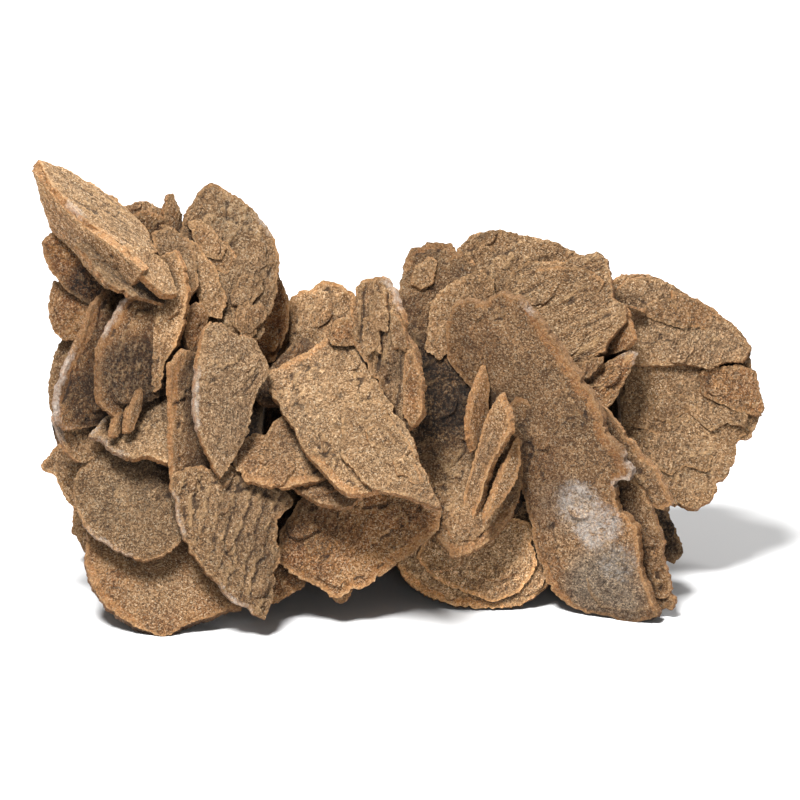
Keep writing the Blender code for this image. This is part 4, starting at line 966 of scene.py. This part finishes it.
def slab(name, low, high, half, spacing):
    """A flat plate of small squares, a little larger than the crystal."""
    counts = [max(4, int(round((high[k] - low[k]) / spacing))) for k in (0, 1)]
    bm = bmesh.new()
    middle = Matrix.Translation(((low[0] + high[0]) / 2, (low[1] + high[1]) / 2, -half))
    size = Matrix.Diagonal((high[0] - low[0], high[1] - low[1], 1, 1))
    bmesh.ops.create_grid(
        bm, x_segments=counts[0], y_segments=counts[1], size=0.5, matrix=middle @ size)
    grown = bmesh.ops.extrude_face_region(bm, geom=list(bm.faces), use_keep_orig=True)["geom"]
    raised = [g for g in grown if isinstance(g, bmesh.types.BMVert)]
    bmesh.ops.translate(bm, vec=(0, 0, 2 * half), verts=raised)
    face_outwards(bm, list(bm.faces))
    return mesh_of(bm, name), counts


def rim_cutter(rng, name, ring, half):
    """An upright wall along the ragged outline, in thin uneven layers, that cuts the slab."""
    bm = bmesh.new()
    circle = bmesh.ops.create_circle(bm, segments=len(ring), radius=1, cap_ends=True)["verts"]
    middle = ring.mean(0)
    radius = np.hypot(*(ring - middle).T).mean()
    foot = -half - CLEARANCE
    for vert, (a, b) in zip(circle, ring):
        vert.co = (a, b, foot)
    bm.faces.ensure_lookup_table()
    cap = bm.faces[0]
    levels = [share * half for share in RIM_LAYERS] + [half + CLEARANCE]
    share = 1
    around = Matrix.Translation((-middle[0], -middle[1], 0))
    for level in levels:
        wanted = 1 + (rng.uniform(-0.22, 0.1) - (0.35 if level > half else 0)) / radius
        cap, _ = raised_cap(bm, cap, level - foot, wanted / share, level == levels[0], around)
        foot, share = level, wanted
    for vert in bm.verts:
        if abs(vert.co.z) < half:
            vert.co += Vector((*rng.uniform(-0.09, 0.09, 2), 0))
    face_outwards(bm, list(bm.faces))
    return mesh_of(bm, name)


def patch_strength(name, kind, x, v):
    """How strong one kind of finish is on a crystal, at the points x, v of the face plane."""
    strength = np.zeros(x.shape)
    for crystal, middle, radius, share in PATCHES[kind]:
        if crystal == name:
            far = np.hypot(x - middle[0], v - middle[1])
            strength = np.maximum(strength, share * (1 - smooth(far, 0.45 * radius, radius)))
    return strength


def marks_on(rng, name, habit, grid, face_grid, depth):
    """The finishes over a crystal's grid: its amber rim, white frost, grey sand and crumbs, and the painted
    light and shade of the light and dark patches.
    """
    patch = {kind: patch_strength(name, kind, *face_grid) for kind in PATCHES}
    marks = Fields()
    rim = habit["rim"] + rng.uniform(-0.08, 0.08) + 0.1 * mottle(rng, *grid, 6)
    rim = np.clip(rim, 0, 1) * np.clip(1 - depth / RIM_REACH, 0, 1)
    amber = rim + patch["amber"] * (1 - smooth(depth, 0.8, 3.0))
    marks.rim = np.maximum(rim, np.minimum(amber, WALL_RIM))
    marks.frost = np.maximum(patch["frost"] * (1 - smooth(depth, 0.5, 1.5)), patch["bloom"])
    marks.grey, marks.crumbs = patch["grey"], patch["crumbs"]
    # painted light minus painted shade
    marks.shade = patch["light"] - patch["dark"]
    return marks


def hollows(face, depth, spacing):
    """How far each point of a face lies below what is round it, -1 to 1. The rim counts as standing proud, so
    it takes the crests' painted highlight.
    """
    reach = max(1, int(round(0.8 / spacing)))
    hollow = np.clip((blurred(face, reach) - face) / 0.14, -1, 1)
    hollow = 0.5 * hollow + 0.5 * np.clip((blurred(face, 3 * reach) - face) / 0.4, -1, 1)
    inner = smooth(depth, 0.4, 1.6)
    return hollow * inner - 0.55 * (1 - inner)


def painted_gap_shade(to_face, spots):
    """How deep inside the front of the cluster points lie, 0 to 1: the core crystals get painted shade there,
    dark as the gaps between the front crystals.
    """
    _, y, v = (np.array(to_face)[:3, :3] @ spots.T + np.array(to_face)[:3, 3:])
    return smooth(-y, -8, -1) * (1 - smooth(v, 56, 66))


def weathered_crystal(name, number, plan):
    """The worked slab of one crystal, its flakes and the wall that cuts both, in the world's place."""
    anchor, turn, thickness, corners = plan
    rng = np.random.default_rng([SEED, number])
    core = any(name == row[0] for row in CORE_CRYSTALS)
    thin = any(name == row[0] for row in FINE_LAYERS)
    group = CORE_HABIT if core else THIN_HABIT if thin else {}
    habit = {**PLAIN_HABIT, **group, **HABITS.get(name, {})}
    half = thickness / 2
    ring = ragged_outline(rng, corners, habit)
    low, high = ring.min(0) - MARGIN, ring.max(0) + MARGIN
    spacing = COARSER * habit["spacing"]
    mesh, counts = slab(name, low, high, half, spacing)
    places = vertex_places(mesh)
    step = (high - low) / counts
    column, row = np.rint((places[:, :2] - low) / step).astype(int).T
    b, a = np.meshgrid(
        np.linspace(low[1], high[1], counts[1] + 1), np.linspace(low[0], high[0], counts[0] + 1),
        indexing="ij")
    own = turn.to_4x4() @ Matrix(((1, 0, 0, 0), (0, 0, -1, 0), (0, 1, 0, 0), (0, 0, 0, 1)))
    to_face = Matrix.Translation(anchor) @ own
    face_grid = [to_face[k][0] * a + to_face[k][1] * b + to_face[k][3] for k in (0, 2)]
    depth = depth_inside(a, b, ring)
    marks = marks_on(rng, name, habit, (a, b), face_grid, depth)
    way = own_way(turn, habit["rib_run"])
    tone = habit["tone"] + rng.normal(0, 0.1)
    warmth = habit["warmth"] + rng.normal(0, 0.15)

    def painted(made, finish_and_shade):
        """Colours a mesh that lies in the crystal's own coordinates, and puts it in the world's place."""
        spots = vertex_places(made)
        c, r = np.clip(np.rint((spots[:, :2] - low) / step).astype(int), 0, counts).T
        tint = np.empty((len(spots), 4))
        tint[:] = (0.5 + 0.5 * tone, 0.5 + 0.5 * warmth, 0, min(1, habit["ribs"] / 0.3))
        # painted light and shade: the light and dark patches, and painted shade on the core crystals deep in
        # the front
        tint[:, 0] += 0.4 * marks.shade[r, c] - (0.5 * painted_gap_shade(to_face, spots) if core else 0)
        tint[:, 2] = marks.crumbs[r, c]
        finish_and_shade[:, 2], finish_and_shade[:, 3] = marks.frost[r, c], marks.grey[r, c]
        growth = spots[:, :2] @ np.array(((-way[1], way[0]), (way[0], way[1]))) / GROWTH_UNIT
        finish_layers(made, finish_and_shade, tint, growth)
        made.transform(FACE_TO_WORLD @ to_face)

    finish_and_shade = np.zeros((len(places), 4))
    finish_and_shade[:, 0] = np.clip(marks.rim[row, column], 0, 1)
    faces = {}
    for side in (1, -1):
        face = worked_face(rng, a, b, depth, half, habit, turn, spacing, side)
        if side == 1 and marks.crumbs.any():
            face = face + crumbs_on(rng, a, b, marks.crumbs)
        faces[side] = face
        here = places[:, 2] * side > 0
        places[here, 2] = side * face[row[here], column[here]]
        # the hollow value, from which the material paints dirt and painted shade in hollows and a painted
        # highlight on crests
        finish_and_shade[here, 1] = 0.5 + 0.5 * hollows(face, depth, spacing)[row[here], column[here]]
    mesh.vertices.foreach_set("co", places.astype(np.float32).ravel())
    painted(mesh, finish_and_shade)
    made = [mesh]
    if habit["flakes"]:
        flakes = flake_coat(rng, name + "_flakes", (a, b), depth, faces, habit, turn, spacing)
        if len(flakes.vertices):
            painted(flakes, np.tile((0.7 * habit["rim"], 0.42, 0, 0), (len(flakes.vertices), 1)))
            made.append(flakes)
    wall = rim_cutter(rng, name + "_rim", ring, half)
    # the wall's low hollow value gives it part of the crests' painted highlight
    painted(wall, np.tile((WALL_RIM, 0.3, 0, 0), (len(wall.vertices), 1)))
    return made, wall


def linked(name, mesh, collection):
    made = bpy.data.objects.new(name, mesh)
    collection.objects.link(made)
    return made


def add_boolean(owner, operation, other):
    step = owner.modifiers.new(operation.lower(), "BOOLEAN")
    step.operation = operation
    step.solver = "MANIFOLD"
    if isinstance(other, bpy.types.Collection):
        step.operand_type = "COLLECTION"
        step.collection = other
    else:
        step.object = other


def shells(bm):
    """The separate closed surfaces of a mesh, each as a list of faces."""
    seen = set()
    found = []
    for first in bm.faces:
        if first in seen:
            continue
        seen.add(first)
        shell, front = [first], [first]
        while front:
            face = front.pop()
            for edge in face.edges:
                for other in edge.link_faces:
                    if other not in seen:
                        seen.add(other)
                        shell.append(other)
                        front.append(other)
        found.append(shell)
    return found


def drop_pockets_and_crumbs(bm):
    """Takes out the closed hollows inside a piece, whose faces point inwards, and loose crumbs."""
    lost = []
    for shell in shells(bm):
        if signed_volume(shell) < CRUMB:
            lost.extend(shell)
    bmesh.ops.delete(bm, geom=lost, context="FACES")


def grown_pieces(plans):
    """The finished pieces, one for each part of the cluster."""
    workshop = bpy.data.collections.new("workshop")
    bpy.context.scene.collection.children.link(workshop)
    bm = bmesh.new()
    below = Matrix.Translation((0, 0, -FLOOR_BLOCK[2] / 2))
    bmesh.ops.create_cube(bm, size=1, matrix=below @ Matrix.Diagonal((*FLOOR_BLOCK, 1)))
    floor_block = linked("floor_block", mesh_of(bm, "floor_block"), workshop)
    number = {name: k for k, name in enumerate(plans)}
    owners = []
    for part, names in PARTS.items():
        others = bpy.data.collections.new(part + "_crystals")
        workshop.children.link(others)
        owner = None
        for name in names:
            meshes, wall = weathered_crystal(name, number[name], plans[name])
            made = linked(name, meshes[0], workshop if owner is None else others)
            if len(meshes) > 1:
                add_boolean(made, "UNION", linked(name + "_flakes", meshes[1], workshop))
            add_boolean(made, "INTERSECT", linked(name + "_rim", wall, workshop))
            owner = owner or made
        add_boolean(owner, "UNION", others)
        add_boolean(owner, "DIFFERENCE", floor_block)
        owners.append((part, owner))
    graph = bpy.context.evaluated_depsgraph_get()
    graph.update()
    meshes = [(part, bpy.data.meshes.new_from_object(owner.evaluated_get(graph))) for part, owner in owners]
    for old in list(workshop.all_objects):
        bpy.data.objects.remove(old)
    for child in list(workshop.children):
        bpy.data.collections.remove(child)
    bpy.data.collections.remove(workshop)
    home = bpy.data.collections.new("gypsum_sand_rose")
    bpy.context.scene.collection.children.link(home)
    pieces = []
    for part, mesh in meshes:
        bm = bmesh.new()
        bm.from_mesh(mesh)
        drop_pockets_and_crumbs(bm)
        bm.to_mesh(mesh)
        bm.free()
        mesh.name = part
        mesh.shade_smooth()
        mesh.set_sharp_from_angle(angle=SHARP_ANGLE)
        pieces.append(linked(part, mesh, home))
    return pieces


SHADE = 0.69  # how much darker the sand is than it looks in the studio's strong light
# Distances in the sand's colours, mm
GRAIN_SIZE = 0.25
TILE_SIZE = 3.4  # across one tile of the cracked crust
STREAK_WIDTH = 0.5
STREAK_LENGTH = 9
CREVICE = 7  # how far a surface is looked for that shades a crevice


class Wire:
    """The output of a node. Sums on it add Math nodes."""

    def __init__(self, recipe, socket):
        self.recipe, self.socket = recipe, socket

    def _sum(self, operation, first, second):
        return self.recipe.node("ShaderNodeMath", {0: first, 1: second}, operation=operation)

    def __add__(self, other):
        return self._sum("ADD", self, other)

    def __radd__(self, other):
        return self._sum("ADD", other, self)

    def __sub__(self, other):
        return self._sum("SUBTRACT", self, other)

    def __rsub__(self, other):
        return self._sum("SUBTRACT", other, self)

    def __mul__(self, other):
        return self._sum("MULTIPLY", self, other)

    def __rmul__(self, other):
        return self._sum("MULTIPLY", other, self)


class Recipe:
    """A material's nodes."""

    def __init__(self, name):
        self.material = bpy.data.materials.new(name)
        self.material.use_nodes = True
        self.tree = self.material.node_tree
        self.shader = self.tree.nodes["Principled BSDF"]

    def node(self, kind, sockets=None, output=0, **settings):
        """Adds a node: its settings first, then the values or links of its sockets."""
        made = self.tree.nodes.new(kind)
        for setting, value in settings.items():
            setattr(made, setting, value)
        for key, value in (sockets or {}).items():
            self.feed(made.inputs[key], value)
        return Wire(self, made.outputs[output])

    def feed(self, socket, value):
        if isinstance(value, Wire):
            self.tree.links.new(value.socket, socket)
        else:
            socket.default_value = value

    def between(self, value, low, high):
        """0 at low, 1 at high, soft between them."""
        return self.node(
            "ShaderNodeMapRange", {"Value": value, "From Min": low, "From Max": high},
            interpolation_type="SMOOTHSTEP")

    def blend(self, share, first, second):
        return self.node(
            "ShaderNodeMix", {0: share, 6: first, 7: second}, output=2, data_type="RGBA")

    def cover(self, share, colour, code):
        """A colour with a share of another paint over it."""
        return self.blend(share, colour, paint(code))

    def clouds(self, place, size, detail=2, roughness=0.55):
        """Noise whose hills are about size millimetres apart."""
        return self.node(
            "ShaderNodeTexNoise",
            {"Vector": place, "Scale": 1 / size, "Detail": detail, "Roughness": roughness})


def paint(code):
    """A colour given as six hexadecimal digits of a lit screen, as the sand's own colour in linear light."""
    parts = [int(code[k : k + 2], 16) / 255 for k in (0, 2, 4)]
    return (*[SHADE * ((p + 0.055) / 1.055) ** 2.4 for p in parts], 1)


def marks_on_faces(mix):
    """The values that were written on the meshes, each from 0 to 1."""
    finish_and_shade, tint = (
        mix.node("ShaderNodeAttribute", output="Color", attribute_name=title)
        for title in ("finish_and_shade", "tint"))
    marks = Fields()
    marks.rim, marks.hollow, marks.frost = (
        mix.node("ShaderNodeSeparateColor", {0: finish_and_shade}, output=k) for k in range(3))
    marks.tone, marks.warmth, marks.crumbs = (
        mix.node("ShaderNodeSeparateColor", {0: tint}, output=k) for k in range(3))
    marks.grey, marks.ribbed = (
        mix.node("ShaderNodeAttribute", output="Alpha", attribute_name=title)
        for title in ("finish_and_shade", "tint"))
    return marks


def sand_fields(mix):
    """Places in millimetres, the grains, and noise in several sizes."""
    metres = mix.node("ShaderNodeTexCoord", output="Object")
    place = mix.node("ShaderNodeVectorMath", {0: metres, "Scale": 1 / MM}, operation="SCALE")
    growth = mix.node("ShaderNodeUVMap", uv_map="growth")
    drawn_out, flow = (
        mix.node(
            "ShaderNodeVectorMath", {0: growth, 1: (GROWTH_UNIT / wide, GROWTH_UNIT / long, 1)},
            operation="MULTIPLY")
        for wide, long in ((STREAK_WIDTH, STREAK_LENGTH), (1, 3)))
    cell = {"Vector": place, "Scale": 1 / GRAIN_SIZE, "Randomness": 1}
    grains = mix.node("ShaderNodeTexVoronoi", cell, output="Color", feature="F1")
    field = Fields()
    field.place = place
    field.grain_lot = mix.node("ShaderNodeSeparateColor", {0: grains}, output=0)
    field.grain_second = mix.node("ShaderNodeSeparateColor", {0: grains}, output=1)
    field.grain_edge = mix.node("ShaderNodeTexVoronoi", cell, output="Distance", feature="F1")
    field.broad = mix.clouds(place, 16, 3)
    field.patchy = mix.clouds(place, 3.6, 3, 0.6)
    field.fine = mix.clouds(place, 0.7, 3, 0.7)
    field.streaks = mix.clouds(drawn_out, 1, 3, 0.6)
    field.flow = mix.clouds(flow, 1.1, 4, 0.6)
    return field


def sand_colour(mix, marks, field):
    """Brown, orange and grey sand, with amber rims that are partly a painted glow through the thin gypsum, a
    painted highlight along the rims, and dark streaks between ribs.
    """
    sand = mix.blend(
        mix.between(field.patchy * 0.5 + field.broad * 0.5, 0.36, 0.64), paint("7E5B38"), paint("A57D55"))
    warm = mix.blend(mix.between(field.patchy, 0.35, 0.7), paint("8C5224"), paint("AC7238"))
    colour = mix.blend(mix.between(marks.warmth + (field.broad - 0.5) * 0.6, 0.45, 0.95), sand, warm)
    cool = mix.between(0.5 - marks.warmth + (field.broad - 0.5) * 0.4, 0.05, 0.5)
    colour = mix.cover(cool * 0.75, colour, "84705A")
    greyed = marks.grey * mix.between(field.patchy + marks.grey * 0.3, 0.4, 0.75)
    colour = mix.cover(greyed * 0.85, colour, "85796A")
    # amber towards the rims: the gypsum's own colour, partly painted glow of light through the thin edges
    rim_wide = mix.between(marks.rim + (field.broad - 0.5) * 0.6, 0.2, 1.0)
    colour = mix.cover(rim_wide * 0.35, colour, "9A6838")
    amber = mix.blend(mix.between(field.fine, 0.3, 0.7), paint("A0602A"), paint("BF8A52"))
    colour = mix.blend(marks.amber_rim * 0.78, colour, amber)
    # painted highlight along the very rims and their walls
    rim_highlight = mix.between(marks.rim + (field.patchy - 0.5) * 0.1, 0.95, 1.0)
    colour = mix.cover(rim_highlight * 0.45, colour, "D2B48C")
    colour = mix.cover(marks.ribbed * mix.between(field.streaks, 0.52, 0.64) * 0.75, colour, "5B432D")
    return mix.cover(marks.ribbed * mix.between(field.streaks, 0.46, 0.34) * 0.4, colour, "B09372")


def painted_light_by_slope(mix, field, colour):
    """Painted light and shade by slope: paler on what faces up, warmer on what faces down."""
    normal = mix.node("ShaderNodeNewGeometry", output="Normal")
    level = mix.node("ShaderNodeSeparateXYZ", {0: normal}, output=2)
    # painted light on what faces up
    lit_top = mix.between(level + (field.patchy - 0.5) * 0.8, 0.15, 0.9)
    colour = mix.cover(lit_top * 0.25, colour, "A68C68")
    # painted shade, warm, on what faces down
    under = mix.between(level + (field.patchy - 0.5) * 0.4, 0.1, -0.6)
    return mix.cover(under * 0.45, colour, "8F5A2E")


def grains_in(mix, marks, field, colour):
    """Dark and light grains and painted glints on some grains, fewer of them on the rim."""
    colour = mix.cover(mix.between(field.grain_lot, 0.5, 1.0) * marks.clean * 0.66, colour, "3A2616")
    colour = mix.cover(mix.between(field.grain_lot, 0.5, 0.0) * marks.clean * 0.45, colour, "DEBC93")
    # painted glints on some grains
    colour = mix.cover(mix.between(field.grain_second, 0.9, 0.94) * marks.clean * 0.4, colour, "E8D0AC")
    colour = mix.cover(mix.between(field.fine, 0.46, 0.28) * marks.clean * 0.12, colour, "453020")
    gloom = mix.between(field.fine, 0.54, 0.44) * mix.between(marks.tone, 0.3, 0.1)
    return mix.cover(gloom * marks.clean * 0.85, colour, "1E1209")


def thin_steps(mix, marks, field, colour):
    """Thin broken sheets with painted shadow at their feet: the colour, and the height they add."""
    ground = mix.clouds(field.place, 6, 5, 0.65)
    small = mix.clouds(field.place, 2.2, 4, 0.6)
    steps = 0
    for hills, level, width in ((ground, 0.45, 0.01), (ground, 0.56, 0.01), (small, 0.52, 0.02)):
        here = mix.between(mix.clouds(field.place, 9 + 300 * width, 2), 0.46, 0.54) * marks.clean
        steps = steps + here * mix.between(hills, level, level + width)
        # painted shadow at the foot of each step
        foot = mix.between(hills, level - 2 * width, level) * mix.between(hills, level + width, level)
        colour = mix.cover(foot * here * 0.5, colour, "3A281A")
    return colour, steps


def cracked_tiles(mix, marks, field, colour):
    """Uneven tiles with dark seams: the colour, and the height they add."""
    wobble = mix.node(
        "ShaderNodeTexNoise", {"Vector": field.place, "Scale": 1 / 1.7, "Detail": 2}, output="Color")
    wobble = mix.node("ShaderNodeVectorMath", {0: wobble, "Scale": 2.6}, operation="SCALE")
    bent = mix.node("ShaderNodeVectorMath", {0: field.place, 1: wobble}, operation="ADD")
    tile = {"Vector": bent, "Scale": 1 / TILE_SIZE}
    tiles = mix.node("ShaderNodeTexVoronoi", tile, output="Color", feature="F1")
    tiles = mix.node("ShaderNodeSeparateColor", {0: tiles}, output=0)
    seam = mix.node("ShaderNodeTexVoronoi", tile, output="Distance", feature="DISTANCE_TO_EDGE")
    broken = mix.between(mix.clouds(field.place, 11, 2), 0.44, 0.58) * (1 - marks.amber_rim)
    seams = mix.between(seam, 0.05, 0.0) * mix.between(field.patchy, 0.42, 0.6) * broken
    return mix.cover(seams * 0.5, colour, "38281B"), 0.14 * tiles * broken


def shade_highlight_and_tone(mix, marks, field, colour):
    """Dirt and painted shade in the hollows, darker low sides of the folds, painted highlights on the crests
    and rims, stuck crumbs, and the crystal's tone with its painted light and shade.
    """
    # dirt and painted shade in the hollows
    hollow_dirt_and_shade = mix.between(marks.hollow + (field.fine - 0.5) * 0.12, 0.62, 0.88)
    colour = mix.cover(hollow_dirt_and_shade * 0.8, colour, "35251A")
    # darker along the low sides of the folds
    creases = mix.between(field.flow, 0.5, 0.4) * mix.between(field.broad, 0.4, 0.6) * marks.clean
    colour = mix.cover(creases * 0.34, colour, "4A3422")
    # painted highlight on the crests and the rims
    crest_highlight = mix.between(marks.hollow + (field.fine - 0.5) * 0.12, 0.36, 0.08)
    colour = mix.cover(crest_highlight * 0.42, colour, "CFA878")
    colour = mix.cover(marks.crumbs * mix.between(field.fine, 0.5, 0.62) * 0.6, colour, "C2A986")
    # the tone carries the painted light and shade of the patches and of the core crystals' depth
    light = marks.tone + (field.patchy - 0.5) * mix.between(marks.tone, 0.5, 0.1) * 0.8
    light = mix.node("ShaderNodeMath", {0: light * 1.5 + 0.25, 1: 0.2}, operation="MAXIMUM")
    return mix.node("ShaderNodeVectorMath", {0: colour, "Scale": light}, operation="SCALE")


def white_bloom(mix, marks, field, colour):
    """Wisps of white powder on the frosted rims and on the great blade."""
    wisps = mix.clouds(field.place, 3, 5, 0.75)
    powder = marks.frost + (wisps - 0.5) * 1.2 + (field.fine - 0.5) * 1.2
    powder = mix.between(powder, 0.25, 1.15) * mix.between(marks.frost, 0, 0.35)
    return mix.cover(powder * 0.66, colour, "DDD7CF")


def sandy_gypsum():
    """Matt gypsum full of desert sand: amber worn rims that are partly a painted glow, grime and painted
    shade in the hollows, painted shadow under the steps, painted shade in the crevices, painted highlights on
    the crests, white bloom in places.
    """
    mix = Recipe("sandy_gypsum_worn")
    marks = marks_on_faces(mix)
    field = sand_fields(mix)
    marks.amber_rim = mix.between(
        marks.rim + (field.patchy - 0.5) * 0.24 + (field.fine - 0.5) * 0.08, 0.76, 0.92)
    marks.clean = 1 - marks.amber_rim * 0.4
    colour = sand_colour(mix, marks, field)
    colour = painted_light_by_slope(mix, field, colour)
    colour = grains_in(mix, marks, field, colour)
    colour, steps = thin_steps(mix, marks, field, colour)
    colour, tiles = cracked_tiles(mix, marks, field, colour)
    colour = shade_highlight_and_tone(mix, marks, field, colour)
    colour = white_bloom(mix, marks, field, colour)
    # painted shade in the crevices, from how much of the surroundings each point sees
    crevice_shade_occlusion = mix.node("ShaderNodeAmbientOcclusion", {"Distance": CREVICE * MM}, output="AO", samples=4)
    colour = mix.cover(mix.between(crevice_shade_occlusion, 0.68, 0.15) * 0.94, colour, "1F1108")

    height = 0.24 * (1 - mix.between(field.grain_edge, 0.0, 0.6)) + 0.14 * field.grain_lot
    height = height + tiles + 0.16 * field.fine + 0.26 * field.patchy
    height = height + 0.8 * marks.ribbed * field.streaks + 0.2 * steps
    folds = 0.6 * mix.between(field.flow, 0.4, 0.6) * mix.between(field.broad, 0.4, 0.6)
    height = height + folds * marks.clean
    relief = mix.node(
        "ShaderNodeBump", {"Strength": 1.0, "Distance": MM, "Height": height}, output="Normal")
    roughness = 0.92 - 0.35 * mix.between(field.grain_second, 0.86, 0.93) - 0.15 * marks.amber_rim

    mix.feed(mix.shader.inputs["Base Color"], colour)
    mix.feed(mix.shader.inputs["Roughness"], roughness)
    mix.feed(mix.shader.inputs["Normal"], relief)
    mix.feed(mix.shader.inputs["Specular IOR Level"], 0.3)
    return mix.material


def floor_material():
    mix = Recipe("studio_floor")
    mix.feed(mix.shader.inputs["Base Color"], (0.64, 0.64, 0.64, 1))
    mix.feed(mix.shader.inputs["Roughness"], 0.9)
    mix.feed(mix.shader.inputs["Specular IOR Level"], 0.1)
    return mix.material


def studio():
    """A plain pale floor, soft light from above and the front, and a long lens."""
    scene = bpy.context.scene
    bm = bmesh.new()
    bmesh.ops.create_grid(bm, x_segments=1, y_segments=1, size=6)
    floor = linked("floor", mesh_of(bm, "floor"), scene.collection)
    floor.data.materials.append(floor_material())

    world = bpy.data.worlds.new("studio")
    world.use_nodes = True
    sky = world.node_tree.nodes["Background"]
    sky.inputs["Color"].default_value = (1, 1, 1, 1)
    sky.inputs["Strength"].default_value = 0.2
    scene.world = world
    for name, place, size, power in (
        ("key", (-0.3, -0.5, 1.3), 0.45, 53),
        ("top", (0.4, 0.8, 1.2), 0.7, 18),
        ("front", (0.4, -1.5, 0.25), 0.5, 3.5),
    ):
        lamp = bpy.data.lights.new(name, "AREA")
        lamp.shape, lamp.size, lamp.energy = "DISK", size, power
        made = bpy.data.objects.new(name, lamp)
        made.location = place
        made.rotation_euler = (Vector((0, 0, 0.04)) - made.location).to_track_quat("-Z", "Y").to_euler()
        scene.collection.objects.link(made)

    lens = bpy.data.cameras.new("camera")
    lens.sensor_width, lens.clip_end = 36, 20
    lens.lens = lens.sensor_width * CAMERA_DISTANCE / PICTURE_WIDTH
    camera = bpy.data.objects.new("camera", lens)
    target = FACE_TO_WORLD @ face_point(0, 0, PICTURE_MIDDLE)
    back = Vector((0, -math.cos(LEAN), math.sin(LEAN)))
    camera.location = target + back * CAMERA_DISTANCE
    camera.rotation_euler = (-back).to_track_quat("-Z", "Y").to_euler()
    scene.collection.objects.link(camera)
    scene.camera = camera
    scene.view_settings.view_transform = "Standard"


def main():
    gypsum = sandy_gypsum()
    for piece in grown_pieces(crystal_plans()):
        piece.data.materials.clear()
        piece.data.materials.append(gypsum)
        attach(piece, "root")
        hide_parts("sand_rose")
    studio()


main()
